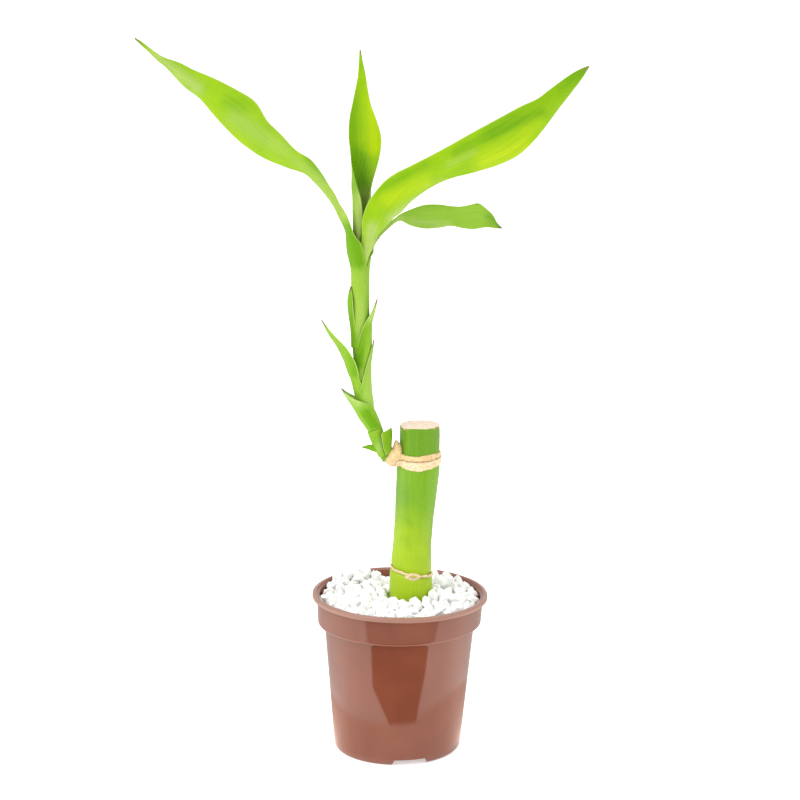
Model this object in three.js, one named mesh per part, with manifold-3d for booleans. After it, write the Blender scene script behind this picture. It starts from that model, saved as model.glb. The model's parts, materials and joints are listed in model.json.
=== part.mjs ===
// Lucky bamboo: a rooted cane of ribbon dracaena with one leafy side shoot, standing in a
// small nursery pot that is filled with potting mix and topped with white gravel.
// Millimetres, +Z up, origin on the table under the middle of the rim. The shoot leans towards -X,
// and -Y is the side that the photograph shows.

import * as THREE from "three";
import { mergeVertices } from "three/addons/utils/BufferGeometryUtils.js";
import Module from "manifold-3d";

const wasm = await Module();
wasm.setup();

const V = (x, y, z) => new THREE.Vector3(x, y, z);
const radians = THREE.MathUtils.degToRad;
const lerp = THREE.MathUtils.lerp;
const smooth = THREE.MathUtils.smoothstep;

// Driving dimensions

const GAP = 0.3; // clearance between two pieces that touch on the real plant

const POT = {
  height: 55.1,
  lean: 1, // how much further left the foot is than the rim
  lipThickness: 1.65,
  rimRadius: 30,
  lipRadius: 28.5, // inside edge of the lip
  collarRadius: 28.35, // the wide band under the lip, at its top
  collarFootRadius: 27.85,
  collarFoot: 44.7, // height at which the band ends with a step
  bodyTop: 43.9,
  bodyTopRadius: 25.6,
  footRadius: 21.6,
  floorRadius: 20.7, // flat of the base, inside the rounded foot
  wall: 0.95,
  floor: 1.2,
  sides: 40,
};

const NOTCH = {
  count: 3,
  first: radians(-78.3), // direction of the notch that faces the viewer
  height: 2,
  halfWidth: 5.3,
  slant: 0.9, // how much wider the notch is at its foot
  inner: 14.5, // how far from the axis the notch reaches
  hole: 1.7, // radius of the drain hole in its roof
};

const MIX_TOP = 46.5;
const GRAVEL = { foot: 46.8, bed: 53, level: 53.7, stones: 104, seed: 2027 };
const HEAPS = [
  [-17, 16, 5.6, 2.8], // middle in x and y, width and height
  [15, 17, 5, 2.1],
  [12, -5, 3.2, 1.4],
];
const DIPS = [
  [-6, 23, 3.5, -1.2],
  [24, 6, 4, -1],
];
const BLADE = 0.62; // thickness of every leaf

// The cane: height, middle in x, radius and tilt (rise per mm towards +X) of its rings.
const CANE_RINGS = [
  [12, 3.8, 6.9, 0],
  [30, 3.8, 7.1, 0],
  [48, 3.75, 7.25, 0],
  [57, 3.7, 7.4, -0.14],
  [61.3, 3.8, 7.25, -0.2],
  [61.7, 3.8, 6.5, -0.2],
  [63.5, 3.8, 6.5, -0.2],
  [63.9, 3.85, 6.95, -0.2],
  [67, 3.9, 6.7, -0.14],
  [73, 4.2, 6.5, -0.05],
  [80, 4.7, 6.6, 0],
  [88, 5.35, 6.85, 0],
  [94, 5.85, 7.1, 0],
  [98, 6.1, 7.25, 0],
  [102, 6.35, 7.1, 0],
  [105, 6.55, 6.8, 0],
  [108, 6.64, 6.65, 0],
  [112.8, 6.64, 6.55, 0],
  [113.4, 6.64, 6.3, 0],
];
const HOLE = { x: 3.75, radius: 7.65, foot: 11.7 }; // for the cane, in the mix and the gravel

// The dried scar round the lower node, which sinks to the right as the node does.
const LOWER_SCAR = { x: 3.8, height: 62.6, tilt: -0.2, radius: 7.35, half: 0.55 };
const BUD = { middle: [5.1, -6.8, 62.2], radii: [2.1, 1.3, 1.5] };
const UPPER_SCAR = { x: 6.25, radius: 7.75, top: 104.1, front: 98.9, back: 102.4 };

// The line that the shoot grows along, from the cane's side to its growing tip.
const SHOOT_LINE = [
  [-4.4, -2.2, 101.4],
  [-5.6, -2.3, 104.6],
  [-6.9, -2.3, 108.4],
  [-8, -2.2, 112],
  [-9.65, -2, 115.6],
  [-11.45, -1.7, 119.6],
  [-12.8, -1.4, 126],
  [-13.1, -1, 134],
  [-13, -0.6, 142],
  [-13.3, -0.3, 150],
  [-13.5, 0, 158],
  [-13.5, 0.2, 166],
  [-13.2, 0.4, 174],
  [-12.8, 0.5, 182],
  [-12.6, 0.5, 190],
  [-12.4, 0.5, 200],
];

// Radius of the shoot's solid core at heights along it; the sheaths fill the rest.
const CORE = [
  [101.6, 1.5],
  [104.6, 1.9],
  [108, 1.8],
  [113, 1.6],
  [120, 1.6],
  [134, 1.7],
  [138, 1.5],
  [143, 0.95],
  [150, 0.7],
  [158, 0.5],
  [171, 0.5],
];

// Materials

const finish = (color, roughness) =>
  new THREE.MeshStandardMaterial({ color, roughness, metalness: 0 });
const POT_BROWN = finish(0x94553f, 0.35);
const MIX_BROWN = finish(0x3a2a20, 0.95);
const GRAVEL_WHITE = finish(0xf3f2ec, 0.7);
const CANE_GREEN = finish(0x8fc41e, 0.4);
const SCAR_TAN = finish(0xe8cf9a, 0.8);
const SHOOT_GREEN = finish(0x9fce3c, 0.45);
const SCALE_GREEN = finish(0x86bd1f, 0.45);
const LEAF_GREEN = finish(0x93cc17, 0.4);

// Solids and meshes

function solidOf(geometry) {
  const bare = new THREE.BufferGeometry();
  bare.setAttribute("position", geometry.getAttribute("position"));
  bare.setIndex(geometry.index);
  const merged = mergeVertices(bare, 1e-4);
  const corners = [];
  for (let i = 0; i < merged.index.count; i += 3) {
    const [a, b, c] = merged.index.array.slice(i, i + 3);
    if (a !== b && b !== c && c !== a) corners.push(a, b, c);
  }
  return new wasm.Manifold(
    new wasm.Mesh({
      numProp: 3,
      vertProperties: new Float32Array(merged.attributes.position.array),
      triVerts: new Uint32Array(corners),
    }),
  );
}

function geometryOf(solid) {
  const mesh = solid.getMesh();
  const geometry = new THREE.BufferGeometry();
  geometry.setAttribute("position", new THREE.BufferAttribute(mesh.vertProperties, 3));
  geometry.setIndex(new THREE.BufferAttribute(mesh.triVerts, 1));
  return geometry;
}

const largest = (solid) =>
  solid.decompose().reduce((best, body) => (body.volume() > best.volume() ? body : best));

const plant = new THREE.Group();
plant.name = "lucky_bamboo";

function addPiece(name, geometry, material) {
  const mesh = new THREE.Mesh(geometry, material);
  mesh.name = name;
  plant.add(mesh);
}

// A profile of [radius, height] pairs turned about the +Z axis.
function turned(profile, sides) {
  const points = profile.map(([r, z]) => new THREE.Vector2(r, z));
  return new THREE.LatheGeometry(points, sides).rotateX(Math.PI / 2);
}

// A closed skin over a stack of rings that all have the same number of points.
function loft(rings) {
  const count = rings[0].length;
  const centre = (ring) =>
    ring.reduce((sum, p) => sum.add(p), V(0, 0, 0)).divideScalar(count);
  const points = [...rings.flat(), centre(rings[0]), centre(rings.at(-1))];
  const foot = rings.length * count;
  const index = [];
  for (let i = 0; i < count; i++) {
    const j = (i + 1) % count;
    for (let k = 0; k + 1 < rings.length; k++) {
      const a = k * count;
      const b = a + count;
      index.push(a + i, a + j, b + j, a + i, b + j, b + i);
    }
    index.push(foot, j, i, foot + 1, foot - count + i, foot - count + j);
  }
  return new THREE.BufferGeometry().setFromPoints(points).setIndex(index);
}

// One ring of a round stem: tilt makes it rise towards +X.
function stemRing(x, y, z, radius, tilt, sides) {
  return Array.from({ length: sides }, (_, i) => {
    const angle = (2 * Math.PI * i) / sides;
    const dx = radius * Math.cos(angle);
    return V(x + dx, y + radius * Math.sin(angle), z + tilt * dx);
  });
}

function ellipsoid(middle, radii) {
  const ball = new THREE.SphereGeometry(1, 12, 7).scale(...radii);
  return solidOf(ball.translate(...middle));
}

// The shoot's line, and directions round it

const shootCurve = new THREE.CatmullRomCurve3(
  SHOOT_LINE.map((p) => V(...p)),
  false,
  "catmullrom",
  0.5,
);

// Where the shoot's line is at a height, with the directions to its right and its back.
function shootAt(height) {
  let low = 0;
  let high = 1;
  for (let i = 0; i < 30; i++) {
    const middle = (low + high) / 2;
    if (shootCurve.getPoint(middle).z < height) low = middle;
    else high = middle;
  }
  const along = shootCurve.getTangent(low);
  const right = V(0, -1, 0).cross(along).negate().normalize();
  const back = along.clone().cross(right).normalize();
  return { point: shootCurve.getPoint(low), along, right, back };
}

// Unit direction round the shoot: 0 is right, 90 back, 180 left and 270 the viewer's side.
function around(frame, degrees) {
  const angle = radians(degrees);
  return frame.right
    .clone()
    .multiplyScalar(Math.cos(angle))
    .addScaledVector(frame.back, Math.sin(angle));
}

// Leaves: a strip of stations, each an arc across the leaf

// A station has its middle, its side and lift (unit directions along the arc and towards the
// leaf's upper face), half its width measured along the arc, and the arc's half angle.
function curved(stations) {
  const curve = (pick) =>
    new THREE.CatmullRomCurve3(stations.map(pick), false, "catmullrom", 0.5);
  const middle = curve((s) => s.middle);
  const side = curve((s) => s.side);
  const lift = curve((s) => s.lift);
  const size = curve((s) => V(s.half, s.curl, 0));
  return (t) => {
    const { x: half, y: curl } = size.getPoint(t);
    const across = side.getPoint(t).normalize();
    const up = lift.getPoint(t);
    up.addScaledVector(across, -up.dot(across)).normalize();
    return { middle: middle.getPoint(t), up, side: across, half: Math.max(half, 0.3), curl };
  };
}

// The leaf as a closed skin. A wave lifts the blade's margins in turn, from where the
// sheath ends; room is extra thickness.
const FLAT = { size: 0, count: 0, from: 0.5 };
function leaf(stations, rows, columns, wave = FLAT, room = 0) {
  const at = curved(stations);
  const thick = BLADE / 2 + room;
  const faces = [[], []];
  for (let r = 0; r <= rows; r++) {
    const s = at(r / rows);
    const curl = Math.max(s.curl, 0.02);
    const radius = s.half / curl;
    for (let c = 0; c <= columns; c++) {
      const edge = (2 * c) / columns - 1;
      const angle = curl * edge;
      const point = s.middle
        .clone()
        .addScaledVector(s.side, radius * Math.sin(angle))
        .addScaledVector(s.up, radius * (1 - Math.cos(angle)));
      const normal = s.up
        .clone()
        .multiplyScalar(Math.cos(angle))
        .addScaledVector(s.side, -Math.sin(angle));
      const turn = 2 * Math.PI * wave.count * (r / rows) + (edge > 0 ? 1.4 : 0);
      const fade = smooth(r / rows, wave.from, wave.from + 0.2) * smooth(1 - r / rows, 0, 0.1);
      point.addScaledVector(normal, wave.size * fade * edge * edge * Math.sin(turn));
      faces[0].push(point.clone().addScaledVector(normal, thick));
      faces[1].push(point.clone().addScaledVector(normal, -thick));
    }
  }
  const wide = columns + 1;
  const under = faces[0].length;
  const index = [];
  const quad = (a, b, c, d) => index.push(a, b, c, a, c, d);
  for (let r = 0; r < rows; r++) {
    for (let c = 0; c < columns; c++) {
      const a = r * wide + c;
      const [b, d, e] = [a + 1, a + wide, a + wide + 1];
      index.push(a, b, e, a, e, d);
      index.push(under + a, under + e, under + b, under + a, under + d, under + e);
    }
    const first = r * wide;
    const last = first + columns;
    quad(first, first + wide, under + first + wide, under + first);
    quad(last, under + last, under + last + wide, last + wide);
  }
  for (let c = 0; c < columns; c++) {
    const end = rows * wide + c;
    quad(c, under + c, under + c + 1, c + 1);
    quad(end, end + 1, under + end + 1, under + end);
  }
  const geometry = new THREE.BufferGeometry();
  return geometry.setFromPoints(faces.flat()).setIndex(index);
}

// A station of a sheath that wraps the shoot: the direction it faces, the radius of its
// middle surface, and how far it reaches round to either side.
function wrapped([height, facing, radius, wrap]) {
  const frame = shootAt(height);
  const outward = around(frame, facing);
  return {
    middle: frame.point.addScaledVector(outward, radius),
    side: outward.clone().cross(frame.along),
    lift: outward.negate(),
    half: radians(wrap) * radius,
    curl: radians(wrap),
  };
}

// A station of an open blade between its two margins, curled by an angle towards the side
// that faces `up`.
function open(marginA, marginB, curl, up) {
  const a = V(...marginA);
  const b = V(...marginB);
  const across = b.clone().sub(a);
  const chord = across.length();
  across.normalize();
  const lift = V(...up);
  lift.addScaledVector(across, -lift.dot(across)).normalize();
  const angle = radians(curl);
  const radius = chord / (2 * Math.sin(angle));
  const middle = a.add(b).multiplyScalar(0.5);
  middle.addScaledVector(lift, -radius * (1 - Math.cos(angle)));
  return { middle, side: across, lift, half: radius * angle, curl: angle };
}

// A point measured in the plane y = 0 of the photograph, moved along the line of sight to
// its real depth.
function sighted([x, z], y) {
  const eye = V(0, -800, 305);
  return V(x, 0, z)
    .sub(eye)
    .multiplyScalar(1 - y / eye.y)
    .add(eye);
}

// Pot

const lipFoot = POT.height - POT.lipThickness;
const potOutside = turned(
  [
    [0, 0],
    [POT.floorRadius, 0],
    [POT.footRadius - 0.2, 0.4],
    [POT.footRadius + 0.05, 1.2],
    [POT.bodyTopRadius, POT.bodyTop],
    [POT.collarFootRadius - 0.3, POT.collarFoot - 0.4],
    [POT.collarFootRadius, POT.collarFoot],
    [POT.collarRadius, lipFoot],
    [POT.rimRadius - 0.25, lipFoot],
    [POT.rimRadius, lipFoot + 0.25],
    [POT.rimRadius, POT.height - 0.25],
    [POT.rimRadius - 0.25, POT.height],
    [0, POT.height],
  ],
  POT.sides,
);

// The hollow of the pot, or what fits in it with some room, up to a height.
function potInside(room, foot, top) {
  const wall = [
    [19.8, POT.floor],
    [20.6, POT.floor + 0.8],
    [POT.bodyTopRadius - POT.wall, POT.bodyTop + 0.6],
    [POT.collarFootRadius - POT.wall, POT.collarFoot + 0.6],
    [POT.collarRadius - POT.wall, lipFoot - 0.4],
    [POT.lipRadius - 0.9, POT.height - 0.5],
    [POT.lipRadius, POT.height],
    [POT.lipRadius, 70],
  ];
  const radiusAt = (z) => {
    const k = Math.max(1, wall.findIndex((p) => p[1] > z));
    const [low, high] = [wall[k - 1], wall[k]];
    return lerp(low[0], high[0], (z - low[1]) / (high[1] - low[1])) - room;
  };
  const between = wall.filter((p) => p[1] > foot + 0.01 && p[1] < top - 0.01);
  const profile = [
    [0, foot],
    [radiusAt(foot), foot],
    ...between.map((p) => [p[0] - room, p[1]]),
    [radiusAt(top), top],
    [0, top],
  ];
  return solidOf(turned(profile, POT.sides));
}

// The pot stands a little out of true: its foot is further left than its rim.
function leaned(solid) {
  const slope = POT.lean / POT.height;
  return solid.transform([1, 0, 0, 0, 0, 1, 0, 0, slope, 0, 1, 0, -POT.lean, 0, 0, 1]);
}

const notchAngles = Array.from(
  { length: NOTCH.count },
  (_, i) => NOTCH.first + (2 * Math.PI * i) / NOTCH.count,
);

// The raised part of the floor over a notch, or the room it takes out of the mix.
function notchRoof(angle, room) {
  const deep = 12;
  const height = NOTCH.height + POT.floor + room;
  const box = new THREE.BoxGeometry(2 * (NOTCH.halfWidth + 1.2 + room), deep, height);
  box.translate(0, -(NOTCH.inner - 1.2 - room + deep / 2), height / 2);
  return solidOf(box.rotateZ(angle + Math.PI / 2));
}

function notchCut(angle) {
  const foot = NOTCH.halfWidth + NOTCH.slant;
  const outline = new THREE.Shape([
    new THREE.Vector2(-foot, -0.01),
    new THREE.Vector2(foot, -0.01),
    new THREE.Vector2(NOTCH.halfWidth, NOTCH.height),
    new THREE.Vector2(-NOTCH.halfWidth, NOTCH.height),
  ]);
  const cut = new THREE.ExtrudeGeometry(outline, { depth: 12, bevelEnabled: false });
  cut.translate(0, 0, NOTCH.inner).rotateX(Math.PI / 2);
  const hole = new THREE.CylinderGeometry(NOTCH.hole, NOTCH.hole, 6, 16);
  hole.rotateX(Math.PI / 2).translate(0, -(NOTCH.inner + 3), 3);
  const turn = angle + Math.PI / 2;
  return solidOf(cut.rotateZ(turn)).add(solidOf(hole.rotateZ(turn)));
}

const roofs = notchAngles.map((angle) => notchRoof(angle, 0));
const hollow = potInside(0, POT.floor, POT.height + 0.5).subtract(wasm.Manifold.union(roofs));
const pot = solidOf(potOutside)
  .subtract(hollow)
  .subtract(wasm.Manifold.union(notchAngles.map(notchCut)));
addPiece("pot", geometryOf(leaned(pot)), POT_BROWN);

// Potting mix and gravel, with a plain hole for the cane

const caneHole = solidOf(
  new THREE.CylinderGeometry(HOLE.radius, HOLE.radius, 60, 28)
    .rotateX(Math.PI / 2)
    .translate(HOLE.x, 0, HOLE.foot + 30),
);
const filling = potInside(GAP, POT.floor + GAP, MIX_TOP).subtract(
  wasm.Manifold.union(notchAngles.map((angle) => notchRoof(angle, GAP))),
);
const mix = leaned(filling).subtract(caneHole);
addPiece("potting_mix", geometryOf(mix), MIX_BROWN);

function seeded(seed) {
  let state = seed;
  return () => {
    state = (state * 16807) % 2147483647;
    return state / 2147483647;
  };
}

// The gravel's surface: heaped at the back on both sides of the cane, low along the right
// wall and just behind the cane.
function gravelLevel(x, y) {
  const rise = ([cx, cy, wide, high]) =>
    high * Math.exp(-((x - cx) ** 2 + (y - cy) ** 2) / (2 * wide * wide));
  return [...HEAPS, ...DIPS].reduce((sum, place) => sum + rise(place), GRAVEL.level);
}

// A broken chip: two uneven four-cornered faces, one above the other.
function chip(random) {
  const [long, wide, high] = [2.3 + random(), 1.8 + 0.7 * random(), 1.2 + 0.6 * random()];
  const ring = (z) =>
    Array.from({ length: 4 }, (_, i) => {
      const angle = (2 * Math.PI * (i + 0.5 * random())) / 4;
      const reach = 0.72 + 0.38 * random();
      return V(
        long * reach * Math.cos(angle),
        wide * reach * Math.sin(angle),
        z + 0.35 * (random() - 0.5),
      );
    });
  const stone = loft([ring(-high), ring(high)]);
  stone.rotateX(0.9 * (random() - 0.5)).rotateY(0.9 * (random() - 0.5));
  return stone.rotateZ(2 * Math.PI * random());
}

const random = seeded(GRAVEL.seed);
const stones = Array.from({ length: GRAVEL.stones }, (_, i) => {
  const share = (i + 0.5) / GRAVEL.stones;
  const reach = Math.sqrt(lerp(3 ** 2, 26.6 ** 2, share));
  const angle = i * 2.39996;
  const x = reach * Math.cos(angle) + 1.2 * (random() - 0.5);
  const y = reach * Math.sin(angle) + 1.2 * (random() - 0.5);
  const z = gravelLevel(x, y) + 0.8 * (random() - 0.5);
  return chip(random).translate(x, y, z);
});
const heaps = HEAPS.map(([x, y, wide, high]) =>
  ellipsoid([x, y, GRAVEL.bed - 0.2], [1.6 * wide, 1.6 * wide, high + 0.4]),
);
const gravel = leaned(potInside(GAP, GRAVEL.foot, GRAVEL.bed))
  .add(wasm.Manifold.union([...heaps, ...stones.map(solidOf)]))
  .intersect(leaned(potInside(GAP, GRAVEL.foot, 68)))
  .subtract(caneHole);
addPiece("gravel", geometryOf(gravel), GRAVEL_WHITE);

// Cane and its two dried scars

const caneSolid = (room) => {
  const rings = CANE_RINGS.map(([z, x, r, tilt]) => stemRing(x, 0, z, r + room, tilt, 24));
  return solidOf(loft(rings));
};
addPiece("cane", geometryOf(caneSolid(0)), CANE_GREEN);

const scarRing = (z, radius) =>
  stemRing(LOWER_SCAR.x, 0, LOWER_SCAR.height + z, radius, LOWER_SCAR.tilt, 24);
const lowerScar = solidOf(
  loft([
    scarRing(-LOWER_SCAR.half, LOWER_SCAR.radius - 0.15),
    scarRing(0, LOWER_SCAR.radius),
    scarRing(LOWER_SCAR.half, LOWER_SCAR.radius - 0.15),
  ]),
)
  .add(ellipsoid(BUD.middle, BUD.radii))
  .subtract(caneSolid(0.15));
addPiece("lower_node_scar", geometryOf(lowerScar), SCAR_TAN);

// A ring of the upper scar: share 0 is its lower edge, which dips in front, 1 its upper.
const upperRing = (share, radius) =>
  stemRing(UPPER_SCAR.x, 0, 0, radius, 0, 24).map((p) => {
    const low = lerp(UPPER_SCAR.front, UPPER_SCAR.back, (p.y / radius + 1) / 2);
    return V(p.x, p.y, lerp(low, UPPER_SCAR.top + 0.03 * (p.x - UPPER_SCAR.x), share));
  });
const upperScarRing = solidOf(
  loft([
    upperRing(0, UPPER_SCAR.radius - 0.2),
    upperRing(0.2, UPPER_SCAR.radius),
    upperRing(0.55, UPPER_SCAR.radius - 0.05),
    upperRing(0.62, UPPER_SCAR.radius - 0.25),
    upperRing(0.7, UPPER_SCAR.radius),
    upperRing(1, UPPER_SCAR.radius - 0.25),
  ]),
);

// Shoot: a core, and the leaf sheaths that nest inside one another round it

function coreRadius(height) {
  const k = Math.max(1, CORE.findIndex((p) => p[0] >= height));
  const [low, high] = [CORE[k - 1], CORE[k]];
  return lerp(low[1], high[1], (height - low[0]) / (high[0] - low[0]));
}

function coreSolid(room) {
  const rings = CORE.flatMap(([height], k) =>
    k + 1 < CORE.length ? [height, (height + CORE[k + 1][0]) / 2] : [height],
  ).map((height) => {
    const frame = shootAt(height);
    const radius = coreRadius(height) + room;
    return Array.from({ length: 12 }, (_, i) =>
      frame.point.clone().addScaledVector(around(frame, 30 * i), radius),
    );
  });
  return solidOf(loft(rings));
}
const core = coreSolid(0).subtract(caneSolid(GAP));
addPiece("shoot_stem", geometryOf(core), SHOOT_GREEN);

// Each scale leaf: height along the shoot, direction faced, radius and reach to each side.
const SCALES = {
  scale_leaf_1: [
    [105.6, 205, 3.3, 42],
    [106.6, 204, 3.6, 38],
    [107.4, 202, 4.5, 27],
    [108, 200, 5.5, 10],
  ],
  scale_leaf_2: [
    [104, 226, 2.4, 50],
    [106.5, 227, 2.3, 52],
    [109.5, 229, 3.05, 54],
    [113, 230, 4.6, 46],
  ],
  scale_leaf_3: [
    [104.4, 337, 2.5, 42],
    [106, 336, 3.1, 46],
    [107.4, 334, 4.1, 46],
    [108.7, 331, 4.7, 40],
    [110.2, 328, 4.5, 28],
  ],
  scale_leaf_4: [
    [109.8, 195, 2.2, 150],
    [112, 195, 2.3, 150],
    [115, 193, 2.75, 145],
    [117.2, 192, 3.15, 138],
    [119.5, 190, 3.5, 126],
    [121.5, 187, 4.15, 96],
    [123.6, 184, 5.1, 56],
    [126.6, 182, 6.7, 12],
  ],
  scale_leaf_5: [
    [117, 350, 2.25, 150],
    [118.5, 350, 2.25, 145],
    [120.5, 350, 2.85, 105],
    [122.2, 351, 3.15, 86],
    [127, 352, 3.3, 70],
    [130, 352, 3.25, 68],
    [134.4, 352, 3.25, 44],
    [138.5, 355, 3.7, 26],
    [142.6, 355, 4.4, 9],
  ],
  scale_leaf_6: [
    [122, 185, 2.25, 150],
    [124, 185, 2.3, 145],
    [127, 185, 2.6, 104],
    [129.5, 185, 3.2, 78],
    [132, 188, 4.2, 72],
    [135.5, 194, 5.4, 58],
    [140.5, 199, 8, 35],
    [145.5, 197, 10.6, 17],
    [150.6, 192, 13, 4],
  ],
  scale_leaf_7: [
    [129, 350, 2.3, 150],
    [133, 350, 2.35, 140],
    [137, 350, 2.7, 116],
    [141, 350, 3.25, 98],
    [145, 350, 3.45, 80],
    [148.2, 350, 3.75, 56],
    [151.5, 350, 4.6, 31],
    [156.2, 354, 5.8, 9],
  ],
  scale_leaf_8: [
    [138, 165, 2.1, 150],
    [141, 165, 2.15, 140],
    [144, 165, 2.5, 102],
    [147, 165, 3.1, 82],
    [151, 165, 3.4, 66],
    [155.5, 168, 3.45, 42],
    [158.8, 175, 3.4, 5],
  ],
};
const scaleStations = Object.fromEntries(
  Object.entries(SCALES).map(([name, rows]) => [name, rows.map(wrapped)]),
);
for (const [name, stations] of Object.entries(scaleStations)) {
  const rows = Math.round(1.5 * (stations.length - 1));
  addPiece(name, leaf(stations, rows, 10), SCALE_GREEN);
}

// Blades: the two margins in the plane y = 0, their depths, curl and upper side

const blade = (rows) =>
  rows.map(([marginA, marginB, depthA, depthB, curl, up]) =>
    open(sighted(marginA, depthA), sighted(marginB, depthB), curl, up),
  );

const smallLeaf = [
  ...[
    [143, 25, 1.45, 150],
    [145, 25, 1.5, 130],
    [147.5, 25, 2.2, 105],
    [150, 25, 2.4, 88],
    [152.5, 25, 2.95, 74],
    [156, 25, 3.3, 64],
    [161, 20, 3.35, 44],
    [166, 14, 3.6, 30],
    [170, 12, 4.4, 18],
  ].map(wrapped),
  ...blade([
    [[-8.6, 174.2], [-7.5, 173.4], 3.2, 3.6, 30, [-0.8, -0.4, 0.6]],
    [[-6.7, 177.5], [-5.8, 176.5], 3.8, 4.2, 26, [-0.8, -0.4, 0.6]],
    [[-4.3, 180.8], [-3.3, 179.7], 4.8, 5.2, 20, [-0.6, -0.6, 0.7]],
    [[-1.8, 183.1], [-0.8, 182.1], 6, 6.4, 18, [-0.5, -0.7, 0.6]],
    [[0.5, 184.8], [0.9, 182.1], 7.2, 7.2, 18, [-0.3, -0.9, 0.5]],
    [[3.6, 186.2], [3.6, 180.7], 8.6, 7.8, 18, [-0.2, -0.9, 0.4]],
    [[8.2, 187.7], [8.2, 179.7], 10, 8.8, 20, [0, -0.9, 0.3]],
    [[13.1, 187.8], [12.3, 180], 11.4, 10, 20, [0, -0.9, 0.3]],
    [[16.1, 187.2], [16.5, 180.6], 12, 11.2, 20, [0, -0.9, 0.3]],
    [[19.2, 187.2], [20.4, 179.8], 12.8, 12.2, 20, [0, -0.9, 0.3]],
    [[23, 187.8], [23.7, 179.6], 13.8, 13, 20, [0, -0.9, 0.3]],
    [[26, 188], [26.4, 179.9], 14.6, 13.8, 20, [0.1, -0.9, 0.3]],
    [[28.6, 186.3], [28.7, 180], 15.2, 14.6, 18, [0.2, -0.9, 0.3]],
    [[30.6, 184.3], [30.7, 180], 15.8, 15.4, 14, [0.3, -0.9, 0.4]],
    [[32.2, 181.6], [32.2, 179.8], 16.4, 16.2, 10, [0.3, -0.9, 0.4]],
    [[33.6, 180.1], [33.5, 179.7], 17, 17, 8, [0.3, -0.9, 0.4]],
  ]),
];

const leftLeaf = [
  ...[
    [148.5, 185, 1.35, 150],
    [150.5, 185, 1.45, 150],
    [153, 185, 2.1, 150],
    [156, 185, 2.45, 150],
    [160, 185, 2.5, 150],
    [166, 185, 2.65, 145],
    [168.5, 185, 3.25, 128],
    [172, 185, 4.1, 108],
    [175.5, 187, 4.5, 86],
    [179, 190, 5.1, 52],
  ].map(wrapped),
  ...blade([
    [[-19.4, 187.3], [-21, 185.4], -4, -2, 34, [0.5, 0.75, 0.3]],
    [[-21.3, 191.1], [-22.8, 188.6], -4.6, -2.4, 30, [0.4, 0.8, 0.3]],
    [[-23.3, 194.2], [-25.3, 191.9], -5, -2.8, 26, [0.4, 0.85, 0.3]],
    [[-26, 198.6], [-28, 194.9], -5.8, -3.2, 23, [0.3, 0.88, 0.3]],
    [[-29.4, 202.8], [-31.3, 197.9], -6.8, -3.8, 20, [0.3, 0.9, 0.3]],
    [[-34, 205.7], [-37.2, 199.8], -8.2, -4.8, 17, [0.3, 0.9, 0.3]],
    [[-39.1, 211], [-44.4, 202.7], -10.4, -6.2, 15, [0.3, 0.9, 0.3]],
    [[-43.4, 215.3], [-50.2, 206.8], -12.2, -7.6, 14, [0.3, 0.9, 0.3]],
    [[-47.2, 221.6], [-54.9, 211.2], -14.4, -9.2, 13, [0.3, 0.9, 0.3]],
    [[-53.4, 225.7], [-60.4, 216.9], -16.4, -11.8, 13, [0.3, 0.9, 0.3]],
    [[-60.4, 229.2], [-65.2, 222.1], -18.4, -14.6, 14, [0.3, 0.9, 0.3]],
    [[-66.8, 231.7], [-70.4, 226], -20, -17, 14, [0.2, 0.9, 0.3]],
    [[-71.6, 234], [-73.9, 230.2], -21.2, -19, 13, [0.2, 0.9, 0.3]],
    [[-75.5, 235.4], [-76.5, 233.5], -22.2, -20.8, 12, [0.2, 0.9, 0.3]],
    [[-78.1, 236.9], [-79, 235.4], -23, -21.8, 11, [0.1, 0.9, 0.3]],
    [[-82.5, 240.1], [-83.2, 239.1], -24.2, -23.4, 9, [0.1, 0.9, 0.3]],
    [[-85.9, 242.2], [-86, 241.9], -25, -25, 8, [0.1, 0.9, 0.3]],
  ]),
];

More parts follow.
